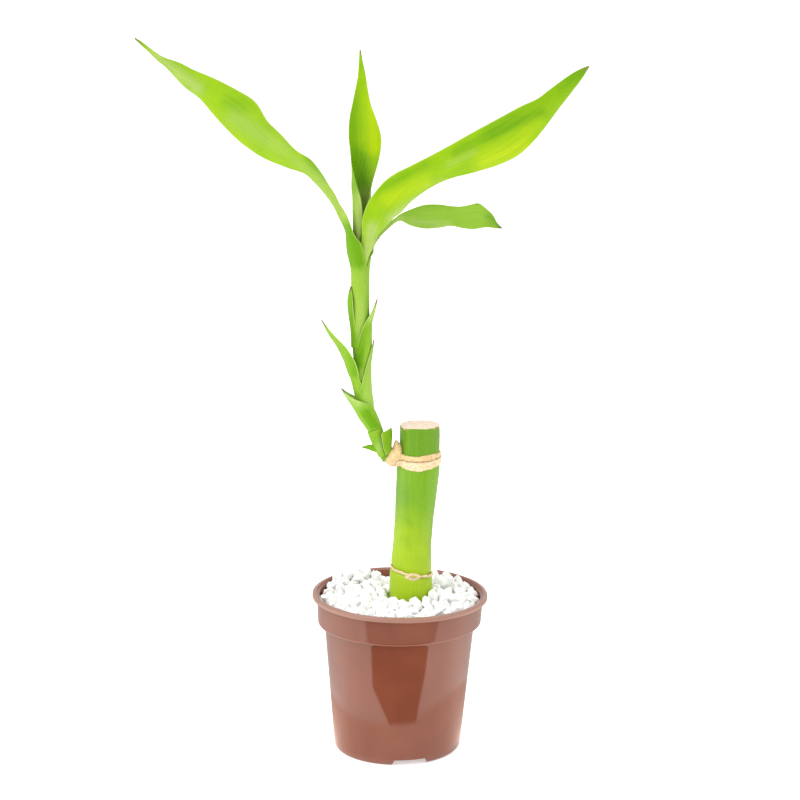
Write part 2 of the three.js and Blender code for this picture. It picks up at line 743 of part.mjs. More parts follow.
const rightLeaf = [
  ...[
    [154.5, 350, 1.3, 150],
    [156.5, 350, 1.5, 150],
    [159, 350, 1.75, 150],
    [163, 350, 1.8, 145],
    [167, 352, 1.98, 120],
    [170.5, 354, 2.85, 90],
  ].map(wrapped),
  ...blade([
    [[-8.3, 174.2], [-12.8, 175.6], 1.6, -2.7, 80, [-0.9, 0.1, 0.2]],
    [[-6.6, 177.4], [-12.6, 178.6], 0.9, -3.9, 58, [-0.8, 0.4, 0.3]],
    [[-4.5, 180.6], [-12.4, 183], 0.7, -4.6, 50, [-0.7, 0.5, 0.5]],
    [[-1.7, 183.6], [-10.6, 188.2], 0, -5, 40, [-0.5, 0.5, 0.5]],
    [[0.9, 185.7], [-6, 194.6], -0.5, -5.2, 31, [-0.4, 0.7, 0.4]],
    [[4, 189], [-2, 197.8], -0.3, -5.1, 27, [-0.35, 0.8, 0.4]],
    [[9.7, 193.1], [2.9, 200.3], 0.1, -4.9, 24, [-0.3, 0.85, 0.35]],
    [[16.2, 196.3], [9.4, 203.6], 0.6, -4.3, 21, [-0.3, 0.85, 0.35]],
    [[24, 198.2], [16.7, 207.5], 1.6, -3.4, 18, [-0.25, 0.88, 0.35]],
    [[31.6, 200.3], [23.8, 211.6], 2.6, -2.4, 16, [-0.2, 0.9, 0.35]],
    [[37.6, 203.2], [29.7, 214.9], 3.4, -1.2, 15, [-0.2, 0.9, 0.35]],
    [[42.2, 207.3], [34, 217.2], 4.1, -0.2, 14, [-0.2, 0.9, 0.35]],
    [[46.7, 212.4], [39.4, 220], 4.8, 1.1, 14, [-0.2, 0.9, 0.35]],
    [[50.7, 217.4], [44.7, 222.4], 5.4, 2.4, 13, [-0.2, 0.9, 0.35]],
    [[54.1, 221.9], [48.6, 225.5], 6, 3.8, 12, [-0.2, 0.9, 0.35]],
    [[57.4, 226.7], [53.8, 229.4], 6.8, 5.2, 11, [-0.2, 0.9, 0.35]],
    [[59.8, 230.1], [57.5, 231.6], 7.3, 6.3, 10, [-0.2, 0.9, 0.35]],
    [[61.6, 232.8], [61.3, 233.2], 7.8, 7.6, 8, [-0.2, 0.9, 0.35]],
  ]),
];

const centreLeaf = [
  ...[
    [159.5, 112, 1, 155],
    [163, 112, 1, 155],
    [168, 112, 1.15, 158],
    [173, 112, 1.6, 160],
    [178, 112, 2.2, 162],
    [183, 112, 2.6, 165],
    [187, 112, 2.75, 163],
    [190.5, 116, 2.9, 146],
    [194.5, 116, 3.25, 124],
  ].map(wrapped),
  ...blade([
    [[-16.2, 204], [-6.8, 203], -0.6, -0.2, 74, [0, -1, 0.1]],
    [[-16.8, 210], [-6.1, 209.4], 0.2, 0.4, 60, [0, -1, 0.1]],
    [[-16.5, 216], [-7.6, 215.4], 0.8, 0.8, 50, [0, -1, 0.1]],
    [[-15.5, 221], [-9.4, 220.4], 1.4, 1.4, 42, [0, -1, 0.1]],
    [[-14.6, 225.3], [-10.4, 225], 1.8, 1.8, 36, [0, -1, 0.1]],
    [[-13.7, 230], [-11.1, 229.8], 2.2, 2.2, 30, [0, -1, 0.1]],
    [[-13.3, 235.4], [-12.2, 235.2], 2.6, 2.6, 22, [0, -1, 0.1]],
    [[-13.1, 238.2], [-12.7, 238.2], 2.8, 2.8, 10, [0, -1, 0.1]],
  ]),
];

addPiece("small_leaf", leaf(smallLeaf, 24, 6, { size: 0.5, count: 7, from: 0.55 }), LEAF_GREEN);
addPiece("left_leaf", leaf(leftLeaf, 27, 10, { size: 0.5, count: 5, from: 0.5 }), LEAF_GREEN);
addPiece("right_leaf", leaf(rightLeaf, 25, 10, { size: 0.4, count: 5, from: 0.5 }), LEAF_GREEN);
addPiece("centre_leaf", leaf(centreLeaf, 20, 10), LEAF_GREEN);

// The callus that the shoot grows out of joins the upper scar.
const callus = ellipsoid([-1.9, -2, 102.7], [3.2, 3.7, 3.3]).add(
  ellipsoid([-1.3, -2.2, 106], [1.4, 2.6, 3.6]),
);
const basalScales = ["scale_leaf_2", "scale_leaf_3"].map((name) =>
  solidOf(leaf(scaleStations[name], 8, 10, undefined, 0.25)),
);
const upperScar = upperScarRing
  .add(callus)
  .subtract(caneSolid(0.2))
  .subtract(coreSolid(0.25))
  .subtract(wasm.Manifold.union(basalScales));
addPiece("upper_node_scar", geometryOf(largest(upperScar)), SCAR_TAN);

export default plant;
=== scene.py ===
# %% [markdown]
# # Lucky bamboo in a nursery pot
#
# The plant is a ribbon dracaena that is sold as lucky bamboo: a rooted piece of cane, cut
# off square at the top, with one leafy shoot that left it at the upper node and turned
# upwards. It stands in potting mix in a small brown nursery pot, under white gravel.
#
# The solid model of the plant is packed already and is loaded here as a fixed frame. This
# script gives each solid the surface of the real thing, piece by piece. Everything is in
# the same place as in the solid model, so no piece has to be fitted by eye.

import json
import math

import bmesh
import bpy
import numpy as np
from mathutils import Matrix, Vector

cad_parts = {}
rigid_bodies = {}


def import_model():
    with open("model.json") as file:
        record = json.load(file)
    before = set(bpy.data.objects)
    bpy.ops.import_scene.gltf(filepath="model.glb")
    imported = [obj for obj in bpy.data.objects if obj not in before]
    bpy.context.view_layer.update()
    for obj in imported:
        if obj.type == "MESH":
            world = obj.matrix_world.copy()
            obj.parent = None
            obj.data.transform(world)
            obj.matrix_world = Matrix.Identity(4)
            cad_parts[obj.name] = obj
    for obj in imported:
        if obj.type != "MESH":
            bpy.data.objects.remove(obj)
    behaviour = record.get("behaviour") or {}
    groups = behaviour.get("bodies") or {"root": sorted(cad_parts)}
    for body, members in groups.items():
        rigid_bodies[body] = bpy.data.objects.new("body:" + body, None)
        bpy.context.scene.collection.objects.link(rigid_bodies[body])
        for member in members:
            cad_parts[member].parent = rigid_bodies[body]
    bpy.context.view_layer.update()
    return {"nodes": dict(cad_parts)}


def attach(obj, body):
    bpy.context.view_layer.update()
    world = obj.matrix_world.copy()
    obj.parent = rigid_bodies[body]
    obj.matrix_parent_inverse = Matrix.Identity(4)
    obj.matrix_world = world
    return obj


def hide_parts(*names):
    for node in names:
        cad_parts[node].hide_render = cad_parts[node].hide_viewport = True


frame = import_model()
print("solids:", ", ".join(sorted(frame["nodes"])))

# %% [markdown]
# ## Sizes, colours and curves
#
# The solid model was drawn in millimetres, and Blender works in metres, so lengths are
# written in millimetres here and divided by a thousand as late as possible. Colours are
# written as they look on a screen, from 0 to 255, and Blender wants them linear, so one
# helper converts them. The curve helper runs a smooth line through a few points: it draws
# the shoot, the leaf margins and everything else that bends.

# %% Helpers for numbers
MM = 0.001


def colour(red, green, blue):
    """A colour as it looks on a screen, turned into Blender's linear RGBA."""
    parts = np.array([red, green, blue]) / 255
    linear = np.where(parts <= 0.04045, parts / 12.92, ((parts + 0.055) / 1.055) ** 2.4)
    return (*linear.tolist(), 1.0)


def ease(value, low, high):
    """0 below low, 1 above high, and a soft S between them."""
    share = np.clip((value - low) / (high - low), 0, 1)
    return share * share * (3 - 2 * share)


def unit(vectors):
    """The same directions with a length of one."""
    return vectors / np.linalg.norm(vectors, axis=-1, keepdims=True)


def bearings(count):
    """Angles of a full turn in a number of even steps."""
    return 2 * np.pi * np.arange(count) / count


def ring_of(radius, height, count, middle=0):
    """A level ring of points about an upright axis that stands at a middle X."""
    angles = bearings(count)
    x, y = middle + radius * np.cos(angles), radius * np.sin(angles)
    return np.stack([x, y, 0 * angles + height], -1)


def through(points, shares):
    """A smooth curve through points, read at shares of its way from 0 to 1."""
    points = np.asarray(points, float)
    first = 2 * points[0] - points[1]
    last = 2 * points[-1] - points[-2]
    row = np.vstack([first, points, last])
    place = np.clip(np.asarray(shares, float), 0, 1) * (len(points) - 1)
    k = np.minimum(place.astype(int), len(points) - 2)
    w = (place - k)[..., None]
    before, start, end, after = row[k], row[k + 1], row[k + 2], row[k + 3]
    leave, arrive = (end - before) / 2, (after - start) / 2
    square = 3 * (end - start) - 2 * leave - arrive
    cube = 2 * (start - end) + leave + arrive
    return start + leave * w + square * w**2 + cube * w**3


def ripple(points, size, seed, turns=7):
    """Smooth unevenness between about -1 and 1 for a list of points; size is in mm."""
    chance = np.random.default_rng(seed)
    total = np.zeros(len(points))
    for _ in range(turns):
        direction = unit(chance.normal(size=3)) * chance.uniform(0.6, 1.6) / size
        total += np.sin(2 * np.pi * (points @ direction) + chance.uniform(0, 6.3))
    return total / math.sqrt(turns) * 0.8


print("screen white in linear:", colour(255, 255, 255))

# %% [markdown]
# ## From points to a piece
#
# Each piece ends as one mesh whose object stays at the origin, unturned and unscaled, so
# that patterns in its material sit still when the part is exported. The helper takes
# points in millimetres and faces as lists of point numbers. It can also store a UV map,
# which tells a material what is across and what is along, and named marks, which are
# numbers on each point, such as how strongly a leaf is wrapped into its sheath.

# %% Helpers for meshes
def mesh_from(name, points, faces, uv=None, marks=None, crease=40):
    """A mesh from points in mm; edges bent by more than crease degrees stay sharp."""
    mesh = bpy.data.meshes.new(name)
    mesh.from_pydata((np.asarray(points) * MM).tolist(), [], faces)
    if uv is not None:
        corner = np.empty(len(mesh.loops), int)
        mesh.loops.foreach_get("vertex_index", corner)
        layer = mesh.uv_layers.new(name="UVMap")
        layer.data.foreach_set("uv", np.asarray(uv)[corner].ravel())
    for mark, values in (marks or {}).items():
        attribute = mesh.attributes.new(mark, "FLOAT", "POINT")
        attribute.data.foreach_set("value", np.asarray(values, np.float32))
    mesh.shade_smooth()
    mesh.set_sharp_from_angle(angle=math.radians(crease))
    mesh.update()
    return mesh


def placed(name, data):
    """An object for a mesh, a light or a camera, at the origin."""
    made = bpy.data.objects.new(name, data)
    bpy.context.scene.collection.objects.link(made)
    return made


def made_real(holder):
    """The plain mesh that an object's modifiers make. The object itself is removed."""
    ready = holder.evaluated_get(bpy.context.evaluated_depsgraph_get())
    result = bpy.data.meshes.new_from_object(ready)
    result.name = holder.name
    bpy.data.objects.remove(holder)
    return result


def show(name, mesh, material):
    """A finished piece: an object for its mesh, with its material."""
    piece = placed(name, mesh)
    mesh.materials.clear()
    mesh.materials.append(material)
    return piece


def settle(piece, slot, *nodes):
    """The piece rides on the plant and stands for its solids; the slot is not used."""
    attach(piece, "root")
    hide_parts(*nodes)
    faces = sum(len(face.vertices) - 2 for face in piece.data.polygons)
    print(f"{piece.name}: {faces} triangles, stands for {', '.join(nodes)}")


print("lengths are written in mm, and one of them is", MM, "m")


# %% Helpers for faces
def between(rings, count, closed=False):
    """Faces between rings of count points; closed joins the last ring to the first."""
    faces = []
    for ring in range(rings if closed else rings - 1):
        low, high = ring * count, (ring + 1) % rings * count
        for i in range(count):
            j = (i + 1) % count
            faces.append((low + i, low + j, high + j, high + i))
    return faces


def turned_over(faces):
    """The same faces, looking the other way."""
    return [(a, d, c, b) for a, b, c, d in faces]


def stack_faces(rings, count):
    """Faces of a closed skin over rings of count points, with a point at each end."""
    faces = between(rings, count)
    foot, top = rings * count, (rings - 1) * count
    for i in range(count):
        j = (i + 1) % count
        faces.append((foot, j, i))
        faces.append((foot + 1, top + i, top + j))
    return faces


def stacked(rings):
    """Points and faces of a closed skin over an array of rings."""
    rings = np.asarray(rings, float)
    ends = [rings[0].mean(0), rings[-1].mean(0)]
    points = np.vstack([rings.reshape(-1, 3), ends])
    return points, stack_faces(len(rings), rings.shape[1])


print("faces between 3 rings of 8 points:", len(between(3, 8)))

# %% [markdown]
# ## Helpers for materials
#
# A material in Blender is a small diagram: boxes that make patterns, lines that carry
# them, and the Principled BSDF at the end, which turns colour, roughness and bump into a
# surface. Writing each box out takes many lines, so a few short helpers add a box, do a
# sum, stretch a value into a mask that rises or fades, or mix two colours.

# %% Helpers for shader nodes
def feed(tree, socket, value):
    """Links a socket to another node's output, or sets it to a plain value."""
    if isinstance(value, bpy.types.NodeSocket):
        tree.links.new(value, socket)
    else:
        socket.default_value = value


def add(tree, kind, inputs=None, **settings):
    """Adds a node with its settings and feeds its inputs."""
    made = tree.nodes.new(kind)
    for name, value in settings.items():
        setattr(made, name, value)
    for name, value in (inputs or {}).items():
        feed(tree, made.inputs[name], value)
    return made


def reckon(tree, operation, first, second=0.0):
    """One sum on two values."""
    return add(tree, "ShaderNodeMath", {0: first, 1: second}, operation=operation).outputs[0]


def plus(tree, first, second):
    """The sum of two values."""
    return reckon(tree, "ADD", first, second)


def minus(tree, first, second):
    """The first value less the second."""
    return reckon(tree, "SUBTRACT", first, second)


def times(tree, first, second):
    """The product of two values."""
    return reckon(tree, "MULTIPLY", first, second)


def mask(tree, value, low, high):
    """0 where the value is low and 1 where it is high, with a soft step between."""
    ends = {"Value": value, "From Min": low, "From Max": high}
    return add(tree, "ShaderNodeMapRange", ends, interpolation_type="SMOOTHSTEP").outputs[0]


def fading(tree, value, low, high):
    """1 where the value is low and 0 where it is high, with a soft step between."""
    return mask(tree, times(tree, value, -1.0), -high, -low)


def mixed(tree, share, first, second):
    """Two colours mixed by a share."""
    return add(tree, "ShaderNodeMix", {0: share, 6: first, 7: second}, data_type="RGBA").outputs[2]


print("sums in shader nodes: plus, minus, times")


# %% Helpers for patterns and finishes
def noise(tree, place, scale, detail=3.0, roughness=0.55, distortion=0.0):
    """A cloudy value round 0.5, its scale given in features a metre."""
    inputs = {
        "Vector": place,
        "Scale": scale,
        "Detail": detail,
        "Roughness": roughness,
        "Distortion": distortion,
    }
    return add(tree, "ShaderNodeTexNoise", inputs).outputs["Fac"]


def stretched(tree, place, across, along):
    """Object coordinates squeezed along Z, so that a pattern becomes upright fibres."""
    scale = (across, across, along)
    return add(tree, "ShaderNodeMapping", {"Vector": place, "Scale": scale}).outputs[0]


def place_on(tree):
    """Object coordinates, which start at the middle of the pot's base."""
    return add(tree, "ShaderNodeTexCoord").outputs["Object"]


def parts_of(tree, vector):
    """The X, Y and Z of a vector; the Z of a place is its height above the table."""
    return add(tree, "ShaderNodeSeparateXYZ", {"Vector": vector}).outputs


def marked(tree, mark):
    """A named mark that was stored on the piece's points."""
    return add(tree, "ShaderNodeAttribute", attribute_name=mark).outputs["Fac"]


def new_finish(name, roughness, specular=0.5):
    """An empty finish: its material, its node tree and its Principled BSDF."""
    material = bpy.data.materials.new(name)
    material.use_nodes = True
    tree = material.node_tree
    surface = tree.nodes["Principled BSDF"]
    surface.inputs["Roughness"].default_value = roughness
    surface.inputs["Specular IOR Level"].default_value = specular
    return material, tree, surface


def relief(tree, surface, height, depth, strength=1.0):
    """Bumps in a finish: height from 0 to 1 stands for depth millimetres."""
    inputs = {"Height": height, "Distance": depth * MM, "Strength": strength}
    bump = add(tree, "ShaderNodeBump", inputs)
    tree.links.new(bump.outputs["Normal"], surface.inputs["Normal"])


print("a finish is started by new_finish")

# %% [markdown]
# ## Effects that several finishes share
#
# A plant's skin is built from long cells, so leaves, sheaths, cane and shoot all carry
# fine streaks along their length. Dried tissue looks alike on the scars, on the cut face
# and on the tips of the scale leaves. Plastic, stone, soil and skin all have a fine grain.
# Each of these effects is made once as a node group with named inputs. A material then
# places the group and gives it its own numbers, which is easier to keep right than four
# copies of the same nodes. A group only puts out values and masks, never a whole shader.

# %% Helper for a node group
def new_effect(name, inputs, outputs):
    """An empty shader group with a float or vector socket for each name."""
    effect = bpy.data.node_groups.new(name, "ShaderNodeTree")
    for socket, start in inputs.items():
        kind = "NodeSocketVector" if start is None else "NodeSocketFloat"
        made = effect.interface.new_socket(socket, in_out="INPUT", socket_type=kind)
        if start is not None:
            made.default_value = start
    for socket in outputs:
        effect.interface.new_socket(socket, in_out="OUTPUT", socket_type="NodeSocketFloat")
    entry = effect.nodes.new("NodeGroupInput")
    leave = effect.nodes.new("NodeGroupOutput")
    return effect, entry.outputs, leave.inputs


def place_effect(tree, effect, place, **numbers):
    """Puts an effect into a material, with its place and its numbers, and gives its outputs."""
    return add(tree, "ShaderNodeGroup", {"Place": place, **numbers}, node_tree=effect).outputs


# %% Long cells: streaks that run along a leaf or a stem
streaks, given, result = new_effect(
    "long_cells", {"Place": None, "Across": 60.0, "Along": 2.0}, ["Broad", "Fine"]
)
parts = parts_of(streaks, given["Place"])
squeezed = add(
    streaks,
    "ShaderNodeCombineXYZ",
    {
        "X": times(streaks, parts["X"], given["Across"]),
        "Y": times(streaks, parts["Y"], given["Across"]),
        "Z": times(streaks, parts["Z"], given["Along"]),
    },
).outputs[0]
wide = noise(streaks, squeezed, 0.35, detail=2.0)
thin = noise(streaks, squeezed, 1.0, detail=4.0, roughness=0.6)
streaks.links.new(mask(streaks, wide, 0.32, 0.68), result["Broad"])
streaks.links.new(mask(streaks, thin, 0.3, 0.7), result["Fine"])
print("effect:", streaks.name)

# %% Soft patches: slow changes of tone over a surface
patches, given, result = new_effect("soft_patches", {"Place": None, "Scale": 60.0}, ["Mask"])
cloud = noise(patches, given["Place"], given["Scale"], detail=2.0, distortion=0.4)
patches.links.new(mask(patches, cloud, 0.38, 0.62), result["Mask"])
print("effect:", patches.name)

# %% Fine grain: the smallest unevenness of a skin, a stone or a moulding
grain, given, result = new_effect("fine_grain", {"Place": None, "Scale": 2500.0}, ["Grain"])
fine = noise(grain, given["Place"], given["Scale"], detail=5.0, roughness=0.65)
pores = add(
    grain, "ShaderNodeTexVoronoi", {"Vector": given["Place"], "Scale": given["Scale"]}
).outputs["Distance"]
shallow = times(grain, pores, 0.35)
grain.links.new(plus(grain, fine, shallow), result["Grain"])
print("effect:", grain.name)

# %% Dried tissue: papery, flaked and a little fibrous
dried, given, result = new_effect("dried_tissue", {"Place": None, "Scale": 900.0}, ["Tone", "Flakes"])
coarse = noise(dried, given["Place"], given["Scale"], detail=4.0, distortion=0.6)
flat_fibres = stretched(dried, given["Place"], 0.6, 2.6)
fibres = noise(dried, flat_fibres, given["Scale"], detail=5.0, roughness=0.7)
both = plus(dried, times(dried, coarse, 0.6), times(dried, fibres, 0.4))
dried.links.new(mask(dried, both, 0.38, 0.62), result["Tone"])
dried.links.new(fibres, result["Flakes"])
print("effect:", dried.name)

# %% [markdown]
# ## The nursery pot
#
# The pot is injection moulded: a thin wall that leans out, a wider band under a rounded
# lip, a flat floor, and three low notches at the foot whose roofs stand up inside and
# carry the drain holes. A round moulding is a profile turned about an axis, so the outside
# and the hollow are each one profile with its corners rounded, turned in 144 steps. The
# notches and holes are then cut with an exact Boolean, as a mould would leave them. Last,
# the pot is set a little out of true: its foot stands a millimetre further left than its
# rim, the band sags to the right, and the thin lip waves.

# %% Turning a profile
def rounded(corners, steps=4):
    """Rounds the corners of a profile; each is radius, height and size of its rounding."""
    points = [corners[0][:2]]
    for before, here, after in zip(corners, corners[1:], corners[2:]):
        spot = np.array(here[:2], float)
        back, on = np.array(before[:2]) - spot, np.array(after[:2]) - spot
        reach = min(here[2], 0.45 * np.hypot(*back), 0.45 * np.hypot(*on))
        start, end = spot + unit(back) * reach, spot + unit(on) * reach
        for t in np.linspace(0, 1, steps if here[2] else 1):
            points.append(start * (1 - t) ** 2 + 2 * spot * t * (1 - t) + end * t**2)
    points.append(corners[-1][:2])
    return np.array(points, float)


def turned(profile, sides=144):
    """Rings of a profile of radius and height turned about the Z axis."""
    circle = ring_of(1, 0, sides)
    return profile[:, 0, None, None] * circle + profile[:, 1, None, None] * (0, 0, 1)


POT_TOP = 55.1
POT_OUTSIDE = [
    [0.02, 0.25, 0],
    [0.9, 0.25, 0.1],
    [1.2, 0.5, 0.1],
    [2.6, 0.5, 0.2],
    [3, 0, 0.1],
    [20.9, 0, 0.6],
    [21.65, 0.9, 0.6],
    [21.8, 2.5, 0],
    [25.5, 42.8, 0],
    [25.6, 43.85, 0.3],
    [27.5, 44.3, 0.3],
    [27.88, 44.75, 0.3],
    [27.92, 45.5, 0],
    [28.31, 52.6, 0],
    [28.35, 53.35, 0.15],
    [29.75, 53.45, 0.2],
    [30, 53.7, 0.2],
    [30, 54.85, 0.2],
    [29.7, POT_TOP, 0.2],
    [28, POT_TOP, 0],
    [0.02, POT_TOP, 0],
]
POT_HOLLOW = [
    [0.02, 1.2, 0],
    [19.8, 1.2, 0.7],
    [20.6, 2, 0.7],
    [24.65, 44.5, 0.5],
    [26.9, 45.3, 0.5],
    [27.4, 53, 0.4],
    [27.6, 54.6, 0.3],
    [28.5, 55.02, 0.2],
    [28.9, 55.3, 0.1],
    [28.9, 56, 0],
    [0.02, 56, 0],
]
outside = rounded(POT_OUTSIDE)
hollow = rounded(POT_HOLLOW)
print("pot profiles:", len(outside), "and", len(hollow), "points")


# %% The notches in the foot
def prism(outline, low, high):
    """A straight block over an outline of x and y, between two heights."""
    outline = np.asarray(outline, float)
    rings = [np.column_stack([outline, np.full(len(outline), z)]) for z in (low, high)]
    return stacked(rings)


def about(points, degrees):
    """Points turned about the Z axis."""
    turn = math.radians(degrees)
    x, y, z = np.asarray(points, float).T
    x, y = x * math.cos(turn) - y * math.sin(turn), x * math.sin(turn) + y * math.cos(turn)
    return np.stack([x, y, z], -1)


def carve(mesh, cutters):
    """The mesh with each cutter taken away from it, by an exact Boolean."""
    work = placed("work", mesh)
    tools = []
    for cutter in cutters:
        tools.append(placed("cutter", cutter))
        cut = work.modifiers.new("cut", "BOOLEAN")
        cut.operation = "DIFFERENCE"
        cut.solver = "EXACT"
        cut.object = tools[-1]
    result = made_real(work)
    for tool in tools:
        bpy.data.objects.remove(tool)
    return result


NOTCH_TURNS = [-78.3, 41.7, 161.7]
ROOF = [(-6.5, -25.3), (6.5, -25.3), (6.5, -13.3), (-6.5, -13.3)]
ROOF_TOP = 3.2
NOTCH = [(-6.25, -0.1), (6.25, -0.1), (5.3, 2), (-5.3, 2)]
NOTCH_REACH = (14.5, 26.5)
DRAIN_RADIUS = 1.7
DRAIN_FROM_AXIS = 17.5
roofs, notches, drains = [], [], []
for turn in NOTCH_TURNS:
    points, faces = prism(ROOF, -0.5, ROOF_TOP)
    roofs.append(mesh_from("roof", about(points, turn + 90), faces))
    points, faces = prism(NOTCH, *NOTCH_REACH)
    upright = np.stack([points[:, 0], -points[:, 2], points[:, 1]], -1)
    notches.append(mesh_from("notch", about(upright, turn + 90), faces))
    circle = ring_of(DRAIN_RADIUS, 0, 32)[:, :2] - (0, DRAIN_FROM_AXIS)
    points, faces = prism(circle, 1, 5)
    drains.append(mesh_from("drain", about(points, turn + 90), faces))
inside = carve(mesh_from("hollow", *stacked(turned(hollow))), roofs)
body = mesh_from("pot", *stacked(turned(outside)))
pot_mesh = carve(body, [inside, *notches, *drains])
print("pot faces after cutting:", len(pot_mesh.polygons))


# %% A pot that isn't quite true
FOOT_SHIFT = 1
BAND_SAG = 0.4
RIM_RADIUS = 30


def bend_points(mesh, bend):
    """Moves a mesh's points by a rule that takes and gives millimetres."""
    place = np.empty(len(mesh.vertices) * 3)
    mesh.vertices.foreach_get("co", place)
    moved = bend(place.reshape(-1, 3) / MM) * MM
    mesh.vertices.foreach_set("co", moved.ravel())
    mesh.update()


def out_of_true(points):
    """Leans the pot, lets the band down to the right and makes the lip wave a little."""
    angle = np.arctan2(points[:, 1], points[:, 0])
    band = ease(points[:, 2], 44, 55)
    lip = ease(points[:, 2], 52, 55)
    inwards = 0.12 + 0.05 * np.sin(2 * angle + 0.6) + 0.04 * np.sin(5 * angle)
    waves = 0.06 + 0.05 * np.sin(3 * angle + 2.1) + 0.05 * np.sin(9 * angle + 1)
    moved = points.copy()
    reach = np.maximum(np.hypot(points[:, 0], points[:, 1]), 1)
    moved[:, :2] -= points[:, :2] * (lip * inwards / reach)[:, None]
    moved[:, 0] -= FOOT_SHIFT * (1 - points[:, 2] / POT_TOP)
    moved[:, 2] -= BAND_SAG * (1 + points[:, 0] / RIM_RADIUS) * band + lip * waves
    return moved


bend_points(pot_mesh, out_of_true)
pot_mesh.shade_smooth()
pot_mesh.set_sharp_from_angle(angle=math.radians(32))
print("foot", FOOT_SHIFT, "mm left of the rim, band sags by up to", 2 * BAND_SAG, "mm")

# %% [markdown]
# ## Brown moulded plastic
#
# Nursery plastic is a plain reddish brown with a satin gloss. Close up its colour drifts a
# little where the melt flowed, the surface carries a fine grain and faint lines round the
# pot from the turned mould, and the lip, the foot and the step under the band are paler:
# partly wear from handling, partly painted sheen and highlight.
# The gloss matters most: the wall mirrors whatever lies round the pot, so the roughness
# is low and varies only slightly.

# %% Pot finish
pot_plastic, tree, surface = new_finish("pot_brown_plastic", 0.14, 0.5)
place = place_on(tree)
level = parts_of(tree, place)["Z"]
drift = place_effect(tree, patches, place, Scale=45.0)["Mask"]
flow = place_effect(tree, streaks, place, Across=260.0, Along=60.0)["Broad"]
rub = place_effect(tree, grain, place, Scale=900.0)["Grain"]
BAND_FOOT = 44.55
flat_place = stretched(tree, place, 1.0, 0.0)
from_axis = add(tree, "ShaderNodeVectorMath", {0: flat_place}, operation="LENGTH").outputs["Value"]
lip = mask(tree, from_axis, 0.02845, 0.02875)
foot = fading(tree, level, 0.0008, 0.003)
from_step = reckon(tree, "ABSOLUTE", minus(tree, level, BAND_FOOT * MM))
step = fading(tree, from_step, 0.0002, 0.0005)
# The lip, the foot and the step under the band are mixed paler: partly wear, partly painted sheen and
# highlight.
wear_and_sheen = reckon(tree, "MAXIMUM", lip, times(tree, plus(tree, foot, step), 0.2))
brown = mixed(tree, drift, colour(120, 65, 46), colour(113, 60, 42))
brown = mixed(tree, times(tree, flow, 0.3), brown, colour(128, 72, 53))
brown = mixed(tree, times(tree, wear_and_sheen, 0.7), brown, colour(160, 121, 106))
tree.links.new(brown, surface.inputs["Base Color"])
satin = plus(tree, 0.07, times(tree, drift, 0.03))
dulled = plus(tree, satin, times(tree, wear_and_sheen, 0.2))
tree.links.new(dulled, surface.inputs["Roughness"])
rings = noise(tree, stretched(tree, place, 0.02, 1.0), 1400.0, detail=2.0)
skin = plus(tree, times(tree, rub, 0.5), times(tree, rings, 0.5))
relief(tree, surface, skin, 0.008, 0.5)
settle(show("pot_moulding", pot_mesh, pot_plastic), "pot", "pot")

# %% [markdown]
# ## Potting mix
#
# The mix fills the pot below the gravel and shows only through the drain holes. Its solid
# already has the right shape, so it stays and gets a better finish: dark peat with paler
# crumbs and fibres, rough all over.

# %% Potting mix finish
peat, tree, surface = new_finish("potting_mix_peat", 0.95, 0.2)
place = place_on(tree)
clods = place_effect(tree, patches, place, Scale=400.0)["Mask"]
crumbs = place_effect(tree, grain, place, Scale=1300.0)["Grain"]
fibre = place_effect(tree, dried, place, Scale=700.0)["Tone"]
earth = mixed(tree, clods, colour(48, 34, 25), colour(74, 54, 39))
earth = mixed(tree, times(tree, fibre, 0.4), earth, colour(112, 84, 58))
earth = mixed(tree, mask(tree, crumbs, 0.78, 0.86), earth, colour(196, 186, 170))
tree.links.new(earth, surface.inputs["Base Color"])
relief(tree, surface, crumbs, 0.8)
mix_solid = frame["nodes"]["potting_mix"]
mix_solid.data.materials.clear()
mix_solid.data.materials.append(peat)
print("potting_mix keeps its solid, finish:", peat.name)

# %% [markdown]
# ## White gravel
#
# The pot is topped with broken white marble chips, three to five millimetres long. They
# are heaped behind the cane on both sides and a little in front of it, and lie lower at
# the very back and along the right wall. A few hundred stones could be set by hand in code, but Geometry
# Nodes do it better: they scatter points over a surface that follows the heaps, put one
# of a dozen different chips on each point, and turn and size it by a seeded chance. The
# same tree runs twice, once for a lower layer that closes the gaps and once for the top.
#
# A shape that is repeated so often must stay light, so a chip is the convex hull of
# twenty points: some thirty flat faces, which is just what a crushed stone looks like.

# %% A dozen different chips
chance = np.random.default_rng(41)
quarry = bpy.data.collections.new("chips")
marble, marble_tree, marble_surface = new_finish("gravel_white_marble", 0.6, 0.4)
CHIP_KINDS = 12
for number in range(CHIP_KINDS):
    blank = bmesh.new()
    reach = np.array([1.0, chance.uniform(0.74, 0.95), chance.uniform(0.58, 0.8)])
    for _ in range(20):
        corner = unit(chance.normal(size=3)) * reach * chance.uniform(0.92, 1.05)
        blank.verts.new((corner * MM).tolist())
    hull = bmesh.ops.convex_hull(blank, input=blank.verts)
    bmesh.ops.delete(blank, geom=hull["geom_interior"], context="VERTS")
    bmesh.ops.recalc_face_normals(blank, faces=blank.faces)
    chip = bpy.data.meshes.new(f"chip_{number}")
    blank.to_mesh(chip)
    blank.free()
    quarry.objects.link(bpy.data.objects.new(f"chip_{number}", chip))

# %% The heaped surface that the chips lie on
CANE_FOOT = 3.75
GRAVEL_LEVEL = 53.6
HEAPS = [
    [-17, 16, 5.6, 3.3],
    [-10.5, 21, 3, 1],
    [15, 17, 5, 2.1],
    [11.5, -4.5, 3.2, 1.8],
    [4.5, -9.5, 3, 0.9],
    [-4, 24, 4, -1.6],
    [24, 6, 4, -1.4],
]


